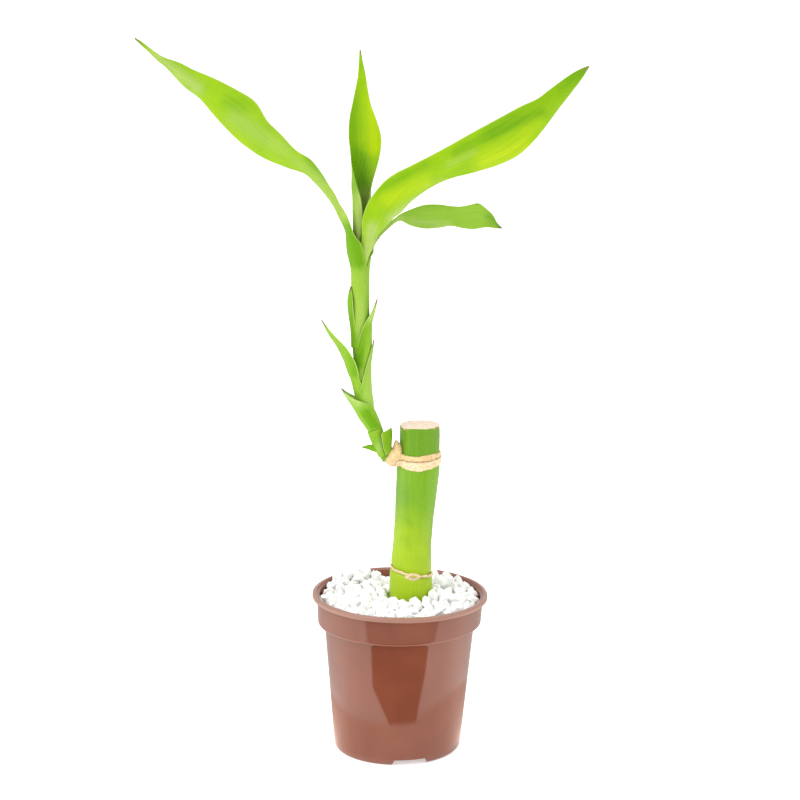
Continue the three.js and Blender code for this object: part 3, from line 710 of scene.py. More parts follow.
def gravel_level(x, y):
    """Height of the gravel: middle, width and height of each heap or dip."""
    level = np.full(np.shape(x), GRAVEL_LEVEL)
    for middle_x, middle_y, wide, high in HEAPS:
        away = (x - middle_x) ** 2 + (y - middle_y) ** 2
        level = level + high * np.exp(-away / (2 * wide * wide))
    return level


def on_gravel(ring, sink):
    """A ring of points laid a little below the level of the gravel."""
    x, y = ring[:, 0], ring[:, 1]
    return np.stack([x, y, gravel_level(x, y) - sink], -1)


def heap_surface(name, sink, reach, clear):
    """An open surface under the chips, with a hole left clear round the cane."""
    steps, sides = 22, 72
    inner, outer = ring_of(clear, 0, sides, CANE_FOOT), ring_of(reach, 0, sides)
    rings = []
    for step in range(steps + 1):
        ring = inner + (outer - inner) * (step / steps)
        rings.append(on_gravel(ring, sink))
    return mesh_from(name, np.vstack(rings), turned_over(between(steps + 1, sides)))


print("gravel level at the middle:", round(float(gravel_level(0.0, 0.0)), 2), "mm")

# %% The inputs of the scatter tree
scatter = bpy.data.node_groups.new("scatter_chips", "GeometryNodeTree")
sockets = {}
for socket, kind in {
    "Surface": "NodeSocketGeometry",
    "Chips": "NodeSocketCollection",
    "Spacing": "NodeSocketFloat",
    "Smallest": "NodeSocketFloat",
    "Largest": "NodeSocketFloat",
    "Unevenness": "NodeSocketFloat",
    "Seed": "NodeSocketInt",
    "Finish": "NodeSocketMaterial",
}.items():
    made = scatter.interface.new_socket(socket, in_out="INPUT", socket_type=kind)
    sockets[socket] = made.identifier
scatter.interface.new_socket("Gravel", in_out="OUTPUT", socket_type="NodeSocketGeometry")
given = scatter.nodes.new("NodeGroupInput").outputs
print("inputs of the scatter tree:", ", ".join(sockets))


# %% The steps of the scatter tree
def scatter_step(kind, inputs, **settings):
    """One step of the scatter tree; gives what comes out of it."""
    return add(scatter, "GeometryNode" + kind, inputs, **settings).outputs[0]


def chance_of(kind, low, high, shift):
    """A seeded random value for each point."""
    seed = plus(scatter, given["Seed"], float(shift))
    dice = add(scatter, "FunctionNodeRandomValue", {"Seed": seed}, data_type=kind)
    ends = [s for s in dice.inputs if s.enabled and s.name in ("Min", "Max")]
    for socket, value in zip(ends, (low, high)):
        feed(scatter, socket, value)
    return next(s for s in dice.outputs if s.enabled)


FULL_TURN = 6.28
DENSEST = 2.0e6
spots = scatter_step(
    "DistributePointsOnFaces",
    {
        "Mesh": given["Surface"],
        "Distance Min": given["Spacing"],
        "Density Max": DENSEST,
        "Seed": given["Seed"],
    },
    distribute_method="POISSON",
)
down = times(scatter, given["Unevenness"], -1.0)
upwards = chance_of("FLOAT", down, given["Unevenness"], 1)
lift = add(scatter, "ShaderNodeCombineXYZ", {"Z": upwards}).outputs[0]
raised = scatter_step("SetPosition", {"Geometry": spots, "Offset": lift})
variety = scatter_step(
    "CollectionInfo",
    {"Collection": given["Chips"], "Separate Children": True, "Reset Children": True},
)
stones = scatter_step(
    "InstanceOnPoints",
    {
        "Points": raised,
        "Instance": variety,
        "Pick Instance": True,
        "Instance Index": chance_of("INT", 0, CHIP_KINDS - 1, 2),
        "Rotation": chance_of("FLOAT_VECTOR", (0, 0, 0), (FULL_TURN, FULL_TURN, FULL_TURN), 3),
        "Scale": chance_of("FLOAT", given["Smallest"], given["Largest"], 4),
    },
)
toned = scatter_step(
    "StoreNamedAttribute",
    {"Geometry": stones, "Name": "tone", "Value": chance_of("FLOAT", 0.0, 1.0, 5)},
    data_type="FLOAT",
    domain="INSTANCE",
)
realized = scatter_step("RealizeInstances", {"Geometry": toned})
finished = scatter_step("SetMaterial", {"Geometry": realized, "Material": given["Finish"]})
leave = scatter.nodes.new("NodeGroupOutput")
scatter.links.new(finished, leave.inputs["Gravel"])
print("nodes in the scatter tree:", len(scatter.nodes))


# %% One layer of chips after the other
def scattered(name, surface_mesh, spacing, smallest, largest, unevenness, seed):
    """One layer of chips as a plain mesh; sizes are half lengths in millimetres."""
    holder = placed(name, surface_mesh)
    modifier = holder.modifiers.new("scatter", "NODES")
    modifier.node_group = scatter
    modifier[sockets["Chips"]] = quarry
    modifier[sockets["Spacing"]] = spacing * MM
    modifier[sockets["Smallest"]] = smallest
    modifier[sockets["Largest"]] = largest
    modifier[sockets["Unevenness"]] = unevenness * MM
    modifier[sockets["Seed"]] = seed
    modifier[sockets["Finish"]] = marble
    return made_real(holder)


lower = scattered("gravel_lower", heap_surface("low", 2.3, 26.2, 9.4), 2.6, 1.8, 2.5, 0.3, 7)
upper = scattered("gravel_upper", heap_surface("high", 0.7, 26.4, 9.3), 3.4, 2.0, 2.9, 0.5, 5)
for stone_object in list(quarry.objects):
    bpy.data.objects.remove(stone_object)
bpy.data.collections.remove(quarry)
print("faces of the two layers:", len(lower.polygons), len(upper.polygons))

# %% Chips held in by the wall
WALL, LIP_WIDER = 27.1, 0.6


def held_in(points):
    """Chips at the rim lie against the wall, which opens towards the lip."""
    reach = np.maximum(np.hypot(points[:, 0], points[:, 1]), 1)
    wall = WALL + LIP_WIDER * ease(points[:, 2], 53.8, 55)
    moved = points.copy()
    moved[:, :2] *= np.minimum(1, wall / reach)[:, None]
    return moved


for layer in (lower, upper):
    bend_points(layer, held_in)
reach = max(v.co.xy.length for v in upper.vertices) / MM
print("the top layer reaches", round(reach, 1), "mm from the axis")

# %% The bed under the chips
BED_FOOT, BED_FOOT_RADIUS = 46.8, 26
BED_SINK, BED_RADIUS = 3.1, 26.9
bed_rings = [ring_of(BED_FOOT_RADIUS, BED_FOOT, 96)]
for share in np.linspace(0.02, 1, 24)[::-1]:
    bed_rings.append(on_gravel(ring_of(BED_RADIUS * share, 0, 96), BED_SINK))
points, faces = stacked(bed_rings)
points[:, 2] += 0.5 * ripple(points, 3.0, 3) * (points[:, 2] > BED_FOOT + 1.2)
bed = mesh_from("gravel_bed", points, faces)
print("gravel bed:", len(points), "points")

# %% [markdown]
# ## Marble chips
#
# Crushed marble is almost white. Each stone has its own tone, from a clean white to a warm
# or greyish one, and its broken faces sparkle a little because they are rough. The tone of
# a stone is the mark that the scatter tree stored on it.

# %% Gravel finish
tree, surface = marble_tree, marble_surface
place = place_on(tree)
tone = marked(tree, "tone")
cloudy = place_effect(tree, patches, place, Scale=350.0)["Mask"]
sparkle = place_effect(tree, grain, place, Scale=2600.0)["Grain"]
white = mixed(tree, mask(tree, tone, 0.72, 1.0), colour(250, 250, 249), colour(234, 233, 226))
white = mixed(tree, times(tree, cloudy, 0.35), white, colour(234, 236, 235))
tree.links.new(white, surface.inputs["Base Color"])
relief(tree, surface, sparkle, 0.12)
for name, mesh in {"gravel_bed": bed, "gravel_lower": lower, "gravel_upper": upper}.items():
    settle(show(name, mesh, marble), "gravel", "gravel")
    if name != "gravel_bed":
        mesh.shade_flat()

# %% [markdown]
# ## The cane
#
# The cane is a rooted length of stem: nearly round, a little waisted between its two
# nodes, and cut off square at the top. A stack of rings with a changing middle, radius and
# tilt describes it well, because the lower node tilts with the way that the plant once
# grew. The measured rings are few, so they are read at every half millimetre and softened,
# and the skin gets an unevenness of less than a tenth of a millimetre. The mark "cut"
# says where the bark ends and the cut face begins.

# %% Rings of the cane: height, middle, radius and tilt
CANE_TOP = 113.4
BARK_TOP = CANE_TOP - 0.4
FRAYED = 1.4
CANE_RINGS = np.array(
    [
        [12, 3.8, 6.9, 0],
        [30, 3.8, 7.1, 0],
        [48, 3.75, 7.25, 0],
        [57, 3.7, 7.4, -0.14],
        [61.3, 3.8, 7.25, -0.2],
        [61.7, 3.8, 6.5, -0.2],
        [63.5, 3.8, 6.5, -0.2],
        [63.9, 3.85, 6.95, -0.2],
        [67, 3.9, 6.7, -0.14],
        [73, 4.2, 6.5, -0.05],
        [80, 4.7, 6.6, 0],
        [88, 5.35, 6.85, 0],
        [94, 5.85, 7.1, 0],
        [98, 6.1, 7.25, 0],
        [102, 6.35, 7.1, 0],
        [105, 6.55, 6.8, 0],
        [108, 6.66, 6.72, 0],
        [CANE_TOP, 6.68, 6.7, 0],
    ]
)
CUT_EDGE = [(1, 0.3), (0.992, 0.12), (0.97, 0.02), (0.93, 0.05), (0.86, 0.12)]
CUT_FACE = [(share, 0.16) for share in np.linspace(0.78, 0.03, 14)]
print("measured rings of the cane:", len(CANE_RINGS))

# %% The skin of the cane
def softened(values, width):
    """A row of values smoothed over a number of neighbours."""
    window = np.hanning(2 * width + 3)
    padded = np.pad(values, width + 1, mode="edge")
    return np.convolve(padded, window / window.sum(), mode="valid")


def cane_skin():
    """Points, faces and the cut mark, which grows over the last stretch of the bark."""
    sides = 112
    heights = np.concatenate([np.arange(12, 56, 2.0), np.arange(56, BARK_TOP, 0.4)])
    columns = [np.interp(heights, CANE_RINGS[:, 0], CANE_RINGS[:, k]) for k in (1, 2, 3)]
    middle, radius, tilt = softened(columns[0], 8), softened(columns[1], 2), softened(columns[2], 6)
    rings, cut = [], []
    for z, x, r, lean in zip(heights, middle, radius, tilt):
        ring = ring_of(r, z, sides, x)
        ring[:, 2] += lean * (ring[:, 0] - x)
        rings.append(ring)
        cut.append(np.full(sides, 0.28 * max(0, 1 - (BARK_TOP - z) / FRAYED)))
    for step, (share, below) in enumerate(CUT_EDGE + CUT_FACE):
        rings.append(ring_of(share * radius[-1], CANE_TOP - below, sides, middle[-1]))
        cut.append(np.full(sides, min(1.0, 0.25 + 0.25 * step)))
    points, faces = stacked(rings)
    cut = np.concatenate([*cut, [0.0, 1.0]])
    outward = points - (4.5, 0, 0)
    outward[:, 2] = 0
    outward = outward / np.maximum(np.linalg.norm(outward, axis=1, keepdims=True), 1)
    side = points[:, 2] < CANE_TOP - 0.35
    points += outward * (0.07 * ripple(points * (1, 1, 0.35), 5.0, 11) * side)[:, None]
    points[:, 2] += (cut > 0.6) * (0.09 * ripple(points, 1.6, 12) - 0.06)
    return points, faces, cut


points, faces, cut = cane_skin()
cane_mesh = mesh_from("cane", points, faces, marks={"cut": cut}, crease=50)
print("cane:", len(points), "points up to", round(float(points[:, 2].max()), 2), "mm")

# %% [markdown]
# ## Cane skin and cut face
#
# The skin is a waxy green that runs from lime near the gravel to a deeper green at the
# top, with long fine streaks and a greyish bloom on the left below the upper node. The
# cut face is dry, cream to pinkish pith with a thin brownish rim. One finish holds both:
# the height sets the green, with painted shade that brings the deeper green further down
# on the right side, and the mark, roughened by noise near the cut, sets the
# ragged line where bark gives way to pith.

# %% Cane finish
cane_skin_finish, tree, surface = new_finish("cane_waxy_green", 0.32, 0.25)
place = place_on(tree)
parts = parts_of(tree, place)
level = parts["Z"]
cells = place_effect(tree, streaks, place, Across=2200.0, Along=90.0)
cloudy = place_effect(tree, patches, place, Scale=85.0)["Mask"]
skin_grain = place_effect(tree, grain, place, Scale=2400.0)["Grain"]
dry = place_effect(tree, dried, place, Scale=1400.0)
wander = times(tree, minus(tree, cloudy, 0.5), 0.006)
# Painted shade: adding X tilts the change to deeper green, so it starts lower on the right side.
shifted = plus(tree, plus(tree, level, wander), times(tree, parts["X"], 0.7))
green = mixed(tree, mask(tree, shifted, 0.07, 0.092), colour(158, 188, 14), colour(108, 156, 10))
green = mixed(tree, mask(tree, level, 0.1, 0.106), green, colour(92, 140, 10))
bloom = times(tree, mask(tree, level, 0.078, 0.09), fading(tree, level, 0.09, 0.099))
bloom = times(tree, bloom, fading(tree, parts["X"], -0.002, 0.008))
green = mixed(tree, times(tree, bloom, 0.6), green, colour(96, 142, 46))
green = mixed(tree, times(tree, cells["Broad"], 0.1), green, colour(164, 190, 62))
green = mixed(tree, times(tree, cells["Fine"], 0.1), green, colour(84, 130, 18))
pith = mixed(tree, dry["Tone"], colour(222, 208, 190), colour(206, 183, 162))
cut_mark = marked(tree, "cut")
torn = minus(tree, noise(tree, place, 330.0, detail=2.0), 0.5)
fray = times(tree, minus(tree, dry["Flakes"], 0.5), 0.4)
torn = plus(tree, times(tree, torn, 1.8), fray)
near_cut = mask(tree, cut_mark, 0.02, 0.3)
ragged = plus(tree, cut_mark, times(tree, torn, near_cut))
rim = mask(tree, ragged, 0.22, 0.3)
face = mask(tree, ragged, 0.33, 0.45)
coloured = mixed(tree, rim, green, colour(176, 142, 84))
coloured = mixed(tree, face, coloured, pith)
tree.links.new(coloured, surface.inputs["Base Color"])
gloss = plus(tree, 0.26, times(tree, cloudy, 0.12))
tree.links.new(plus(tree, gloss, times(tree, rim, 0.5)), surface.inputs["Roughness"])
skin = plus(tree, times(tree, cells["Fine"], 0.6), times(tree, skin_grain, 0.25))
flakes = times(tree, dry["Flakes"], face)
skin = plus(tree, skin, times(tree, flakes, 2.5))
relief(tree, surface, skin, 0.06)
settle(show("cane_skin", cane_mesh, cane_skin_finish), "cane", "cane")

# %% [markdown]
# ## The dried scars
#
# A leaf once clasped the cane at each node, and where it fell a dry rim is left. The lower
# one is a thin ragged ring with a dormant bud in front. The upper one is wide, because the
# shoot broke out there: a darker flaked band, a crease, a cream band below, and a swollen
# callus under the shoot.
#
# The lower ring is a small section carried round the cane and made uneven on the way. The
# upper scar is several swollen forms that have grown together, so they are drawn apart and
# then fused with a voxel remesh, which leaves one closed skin to roughen.

# %% Lower ring and its bud
RING_MIDDLE = (3.87, 62.6)
RING_RADIUS = 6.95
RING_TILT = -0.2
BUD_MIDDLE = (4.3, 61.9)
BUD_FROM_AXIS = 6.75


def lower_ring():
    """Points, faces and bud mark of a ragged ring round the cane with a lens-shaped bud."""
    turns, sections = 240, 14
    angle, section = bearings(turns), bearings(sections)
    flake = ripple(ring_of(7, 0, turns), 2.4, 5)
    thick = 0.38 * (1 + 0.25 * flake)
    tall = 0.42 * (1 + 0.35 * np.roll(flake, 40))
    reach = RING_RADIUS + thick[:, None] * np.cos(section)
    dx = reach * np.cos(angle)[:, None]
    wave = 0.16 * np.roll(flake, 90)
    z = RING_MIDDLE[1] + RING_TILT * dx + tall[:, None] * np.sin(section) + wave[:, None]
    y = reach * np.sin(angle)[:, None]
    points = np.stack([RING_MIDDLE[0] + dx, y, z], -1).reshape(-1, 3)
    faces = turned_over(between(turns, sections, closed=True))
    ball = bmesh.new()
    bmesh.ops.create_uvsphere(ball, u_segments=36, v_segments=18, radius=1)
    bud = np.array([v.co for v in ball.verts])
    bud_faces = [tuple(v.index + len(points) for v in f.verts) for f in ball.faces]
    ball.free()
    pinch = 0.1 + 0.9 * np.sqrt(np.clip(1 - bud[:, 0] ** 2, 0, 1))
    bud = bud * np.stack([3.1 + 0 * pinch, 0.9 * pinch, 1.4 * pinch], -1)
    bud += (BUD_MIDDLE[0], 0, BUD_MIDDLE[1])
    bud[:, 1] -= np.sqrt(BUD_FROM_AXIS**2 - (bud[:, 0] - RING_MIDDLE[0]) ** 2)
    mark = np.concatenate([np.zeros(len(points)), np.ones(len(bud))])
    return np.vstack([points, bud]), faces + bud_faces, mark


points, faces, bud_mark = lower_ring()
sideways = (points[:, 0] - BUD_MIDDLE[0]) / 2
upright = (points[:, 2] - BUD_MIDDLE[1] - 0.3) / 0.75
heart = np.exp(-(sideways**2 + upright**2) * 1.6)
lower_marks = {"bud": bud_mark * heart, "share": 0.5 + 0 * heart}
lower_mesh = mesh_from("lower_scar", points, faces, marks=lower_marks)
print("lower scar:", len(points), "points")

# %% The band of the upper scar, as shares of its height and radii
SCAR_MIDDLE = 6.25
SCAR_RADIUS = 7.7
SCAR_FRONT = 98.9
SCAR_BACK = 102.4
SCAR_TOP = 104.1
SCAR_PROFILE = [
    (0.02, 6.7),
    (0, 7.5),
    (0.2, SCAR_RADIUS),
    (0.6, SCAR_RADIUS),
    (0.68, 7.4),
    (0.75, 7.6),
    (0.98, 7.45),
    (1, 6.8),
]


def upper_edges(points):
    """The lower and upper edge of the upper scar beside each point."""
    back = (points[:, 1] / SCAR_RADIUS + 1) / 2
    low = SCAR_FRONT + (SCAR_BACK - SCAR_FRONT) * np.clip(back, 0, 1)
    return low, SCAR_TOP + 0.03 * (points[:, 0] - 6)


def scar_band():
    """The band round the cane, from its lower edge over the crease to its upper edge."""
    sides = 120
    rings = []
    for share, radius in SCAR_PROFILE:
        ring = ring_of(radius, 0, sides, SCAR_MIDDLE)
        low, high = upper_edges(ring)
        ring[:, 2] = low + (high - low) * share + 0.25 * ripple(ring * (1, 1, 0), 4.0, 21)
        rings.append(ring)
    return np.vstack(rings), between(len(rings), sides, closed=True)


print("the band is about", round(SCAR_TOP - SCAR_FRONT, 1), "mm high in front")

# %% The callus and the fused scar
def fused(name, shells, voxel):
    """Overlapping closed shells fused into one skin by a voxel remesh."""
    points, faces, start = [], [], 0
    for shell_points, shell_faces in shells:
        points.append(shell_points)
        faces += [tuple(i + start for i in face) for face in shell_faces]
        start += len(shell_points)
    work = placed(name, mesh_from(name, np.vstack(points), faces))
    remesh = work.modifiers.new("fuse", "REMESH")
    remesh.mode = "VOXEL"
    remesh.voxel_size = voxel * MM
    soft = work.modifiers.new("soften", "SMOOTH")
    soft.iterations = 3
    return made_real(work)


def lump(middle, radii):
    """A closed ellipsoid with evenly shaped faces."""
    ball = bmesh.new()
    bmesh.ops.create_icosphere(ball, subdivisions=4, radius=1)
    points = np.array([v.co for v in ball.verts]) * radii + middle
    faces = [tuple(v.index for v in f.verts) for f in ball.faces]
    ball.free()
    return points, faces


callus = [
    lump((-1.7, -2.2, 101.9), (3.5, 3.7, 2.5)),
    lump((-1.9, -2.2, 103.4), (2.4, 3.1, 2.6)),
    lump((-1.2, -2.4, 105.6), (1.1, 2.2, 3)),
    lump((-0.3, -2.6, 104.4), (1.2, 2.6, 3)),
]
upper_mesh = fused("upper_scar", [scar_band(), *callus], 0.17)
print("upper scar:", len(upper_mesh.polygons), "faces")

# %% Flakes and marks of the upper scar
def roughen_scar(points):
    """Flakes and fine cracks of dried tissue."""
    outward = unit((points - (6, 0, 0)) * (1, 1, 0.05))
    flakes = 0.13 * ripple(points * (1, 1, 1.6), 1.5, 22) + 0.06 * ripple(points, 0.7, 23)
    return points + outward * (np.clip(flakes, -0.25, 0.16))[:, None]


bend_points(upper_mesh, roughen_scar)
place = np.array([v.co for v in upper_mesh.vertices]) / MM
low, high = upper_edges(place)
share = (place[:, 2] - low) / (high - low)
on_callus = ease(-place[:, 0], 0.5, 2.2)
share = share + (0.75 - share) * on_callus
for mark, values in {"share": share, "bud": 0 * share}.items():
    attribute = upper_mesh.attributes.new(mark, "FLOAT", "POINT")
    attribute.data.foreach_set("value", values.astype(np.float32))
upper_mesh.shade_smooth()
print("points on the callus:", int((on_callus > 0.5).sum()))

# %% [markdown]
# ## Dried tissue on the scars
#
# The bands are papery and cream to tan, and the crease between them is darkened with
# painted shade. The mark "share" runs from the lower to the upper edge of a scar, so the
# bands follow the scar however it tilts. The bud has an olive heart inside a tan outline,
# which is a second mark.

# %% Scar finish
scar_finish, tree, surface = new_finish("scar_dried_tan", 0.75, 0.25)
place = place_on(tree)
dry = place_effect(tree, dried, place, Scale=1100.0)
cloudy = place_effect(tree, patches, place, Scale=260.0)["Mask"]
rough = place_effect(tree, grain, place, Scale=2600.0)["Grain"]
wander = times(tree, minus(tree, dry["Flakes"], 0.5), 0.16)
across_scar = plus(tree, marked(tree, "share"), wander)
cream = mixed(tree, dry["Tone"], colour(234, 212, 180), colour(214, 182, 142))
tan = mixed(tree, dry["Tone"], colour(230, 202, 156), colour(204, 168, 120))
band = mixed(tree, mask(tree, across_scar, 0.58, 0.68), cream, tan)
band = mixed(tree, times(tree, cloudy, 0.2), band, colour(206, 200, 130))
# Painted shade: the crease between the bands is darkened.
crease = times(tree, mask(tree, across_scar, 0.54, 0.62), fading(tree, across_scar, 0.62, 0.7))
band = mixed(tree, times(tree, crease, 0.75), band, colour(118, 84, 44))
heart_mark = mask(tree, marked(tree, "bud"), 0.3, 0.7)
band = mixed(tree, heart_mark, band, colour(176, 168, 84))
tree.links.new(band, surface.inputs["Base Color"])
relief(tree, surface, plus(tree, dry["Flakes"], times(tree, rough, 0.3)), 0.22)
settle(show("lower_scar_ring", lower_mesh, scar_finish), "scar", "lower_node_scar")
settle(show("upper_scar_callus", upper_mesh, scar_finish), "scar", "upper_node_scar")

# %% [markdown]
# ## The line of the shoot
#
# The shoot leaves the callus, climbs outwards and then turns straight up. One smooth line
# describes it, and at every height that line gives three directions: along, to the right
# and to the back, and from the last two any way round. The core and all the sheaths are
# set on this line, as they grow on the real plant.

# %% Shoot line and core
SHOOT_LINE = [
    [-4.4, -2.2, 101.4],
    [-5.6, -2.3, 104.6],
    [-6.9, -2.3, 108.4],
    [-8, -2.2, 112],
    [-9.65, -2, 115.6],
    [-11.45, -1.7, 119.6],
    [-12.8, -1.4, 126],
    [-13.1, -1, 134],
    [-13, -0.6, 142],
    [-13.3, -0.3, 150],
    [-13.3, 0, 158],
    [-13.3, 0.2, 166],
    [-13.2, 0.4, 174],
    [-12.8, 0.5, 182],
    [-12.6, 0.5, 190],
    [-12.4, 0.5, 200],
]
line_shares = np.linspace(0, 1, 4001)
line_heights = through(SHOOT_LINE, line_shares)[:, 2]


def shoot_at(height):
    """Point, along, right and back of the shoot at a height."""
    share = np.interp(height, line_heights, line_shares)
    ends = through(SHOOT_LINE, np.array([share - 1e-4, share + 1e-4]))
    along = unit(ends[1] - ends[0])
    right = unit(-np.cross((0, -1, 0), along))
    back = unit(np.cross(along, right))
    return through(SHOOT_LINE, np.array([share]))[0], along, right, back


def around(right, back, degrees):
    """A direction round the shoot: 0 right, 90 back, 180 left, 270 the viewer's side."""
    return right * math.cos(math.radians(degrees)) + back * math.sin(math.radians(degrees))


CORE = [
    [101.6, 1.5],
    [104.6, 1.9],
    [108, 1.8],
    [113, 1.6],
    [120, 1.6],
    [134, 1.7],
    [138, 1.5],
    [143, 0.95],
    [150, 0.7],
    [158, 0.5],
    [171, 0.5],
]
core_rings = []
for height in np.arange(CORE[0][0], CORE[-1][0] + 0.01, 0.6):
    point, along, right, back = shoot_at(height)
    radius = np.interp(height, *np.array(CORE).T)
    ways = [around(right, back, 15 * i) for i in range(24)]
    core_rings.append([point + way * radius for way in ways])
points, faces = stacked(core_rings)
core_mesh = mesh_from("core", points, faces)
print("shoot core:", len(points), "points")

# %% [markdown]
# ## Leaves as strips of arcs
#
# A dracaena leaf is one long strip. At its foot it is rolled round the shoot as a sheath,
# and further up it opens into a flat or gently curled blade. So every leaf here is a row
# of stations, each an arc across the leaf: nearly a full circle in the sheath, almost a
# straight line in the blade. A smooth curve runs through the stations, the arcs are
# filled in, and both sides of the strip are joined by a thin margin.
#
# A station of a sheath is a height, the direction it faces, its radius and how far it
# reaches round. A station of a blade is its two margins as they are seen in the plane of
# the shoot, how far each lies behind that plane, its curl and which way its upper side
# faces. The arcs follow the solid model, but some sheaths hug the stem more closely than
# their solids can, and the strip is finer, with thin margins and a real point.

# %% Stations: arcs across a leaf
EYE_AWAY = 800
EYE_HEIGHT = 305
EYE = np.array([0, -EYE_AWAY, EYE_HEIGHT])
BLADE = 0.62
HALF_TIP = 0.28


def wrapped(height, facing, radius, wrap):
    """A station of a sheath that wraps the shoot."""
    point, along, right, back = shoot_at(height)
    outward = around(right, back, facing)
    curl = math.radians(wrap)
    side = np.cross(outward, along)
    return [*(point + outward * radius), *side, *(-outward), curl * radius, curl]


def sighted(spot, depth):
    """A point seen in the plane of the shoot, moved along the line of sight to its depth."""
    plane = np.array([spot[0], 0, spot[1]])
    return (plane - EYE) * (1 + depth / EYE_AWAY) + EYE


def opened(margin_a, margin_b, depth_a, depth_b, curl, up):
    """A station of an open blade between its two margins."""
    a, b = sighted(margin_a, depth_a), sighted(margin_b, depth_b)
    across = b - a
    chord = np.linalg.norm(across)
    across = across / chord
    lift = np.array(up, float)
    lift = unit(lift - across * (lift @ across))
    angle = math.radians(curl)
    radius = chord / (2 * math.sin(angle))
    middle = (a + b) / 2 - lift * radius * (1 - math.cos(angle))
    return [*middle, *across, *lift, radius * angle, angle]


print("a station has", len(wrapped(150, 0, 3, 90)), "numbers")

# %% From stations to a leaf
def leaf_strip(stations, rows, columns, wave=(0, 0, 0.5), thick=BLADE):
    """Points, faces, UV and wrap of one leaf. The wave has a size, a count and a start."""
    t = np.linspace(0, 1, rows + 1)
    row = through(stations, t)
    middle, side, up = row[:, 0:3], unit(row[:, 3:6]), row[:, 6:9]
    up = unit(up - side * (up * side).sum(1, keepdims=True))
    half, curl = np.maximum(row[:, 9], HALF_TIP), np.maximum(row[:, 10], 0.02)
    edge = np.linspace(-1, 1, columns + 1)
    angle = curl[:, None] * edge
    radius = (half / curl)[:, None, None]
    sine, cosine = np.sin(angle)[..., None], np.cos(angle)[..., None]
    side, up = side[:, None], up[:, None]
    point = middle[:, None] + side * radius * sine + up * radius * (1 - cosine)
    normal = up * cosine - side * sine
    size, count, start = wave
    turn = 2 * np.pi * count * t[:, None] + np.where(edge > 0, 1.4, 0)
    fade = ease(t, start, start + 0.2) * ease(1 - t, 0, 0.1)
    sway = size * fade[:, None] * edge**2 * np.sin(turn)
    point = point + normal * sway[..., None]
    slim = 0.2 + 0.8 * np.sqrt(np.clip(1 - edge**2, 0, 1))
    slim = slim * (0.5 + 0.5 * ease(1 - t, 0, 0.12))[:, None]
    offset = normal * (thick / 2 * slim)[..., None]
    points = np.vstack([(point + offset).reshape(-1, 3), (point - offset).reshape(-1, 3)])
    length = np.concatenate([[0], np.cumsum(np.linalg.norm(np.diff(middle, axis=0), axis=1))])
    u, v = np.meshgrid((edge + 1) / 2, length / length[-1])
    uv = np.tile(np.stack([u.ravel(), v.ravel()], -1), (2, 1))
    wrap = np.tile(np.repeat(np.clip(curl / math.pi, 0, 1), columns + 1), 2)
    return points, strip_faces(rows, columns), uv, wrap


def strip_faces(rows, columns):
    """Faces of a closed strip: its upper side, its lower side and the margin round it."""
    wide = columns + 1
    under = (rows + 1) * wide
    faces = []
    for r in range(rows):
        for c in range(columns):
            a = r * wide + c
            faces.append((a, a + 1, a + wide + 1, a + wide))
            faces.append((under + a, under + a + wide, under + a + wide + 1, under + a + 1))
        first, last = r * wide, r * wide + columns
        faces.append((first, first + wide, under + first + wide, under + first))
        faces.append((last, under + last, under + last + wide, last + wide))
    for c in range(columns):
        end = rows * wide + c
        faces.append((c, under + c, under + c + 1, c + 1))
        faces.append((end, end + 1, under + end + 1, under + end))
    return faces


print("faces of a strip of 10 by 4:", len(strip_faces(10, 4)))

# %% [markdown]
# ## Painted tones
#
# No leaf is one green. A blade has deeper stretches, yellow ones where light comes
# through, and greyish ones where its waxy underside shows, each in its own place. Such
# tones are laid on with a few soft strokes: a stroke is a line between two points as they
# are seen in the plane of the shoot, with a width and a strength, and what it leaves on
# each point of the leaf is stored as a mark. The material turns the marks into colour and
# breaks them up with streaks, so that no stroke can be told from the tissue.

# %% Strokes on a leaf
def stroked(points, strokes):
    """How strongly soft strokes cover each point: x, z, x, z, width and strength."""
    depth = points[:, 1:2] / EYE_AWAY
    seen = (EYE + (points - EYE) / (1 + depth))[:, [0, 2]]
    total = np.zeros(len(points))
    for x0, z0, x1, z1, width, strength in strokes:
        start, way = np.array([x0, z0]), np.array([x1 - x0, z1 - z0])
        share = np.clip((seen - start) @ way / max(way @ way, 1e-6), 0, 1)
        away = np.linalg.norm(seen - start - share[:, None] * way, axis=1)
        total += strength * np.exp(-((away / width) ** 2))
    return np.clip(total, 0, 1)


print("one stroke at its middle:", stroked(np.zeros((1, 3)), [[-1, 0, 1, 0, 1, 0.8]])[0])

# %% [markdown]
# ## Leaf and sheath finish
#
# All green tissue is made the same way: a fresh green, moved towards deep, yellow and
# pale by its marks, finely streaked along its length, a little darker in the veins, and
# dried to olive brown at the very tip. The surface is waxy but not glossy, and its veins
# stand out as fine ridges. A helper makes this finish once for the blades, once for the
# softer green of the small leaf and once for the scales, with other numbers each time.

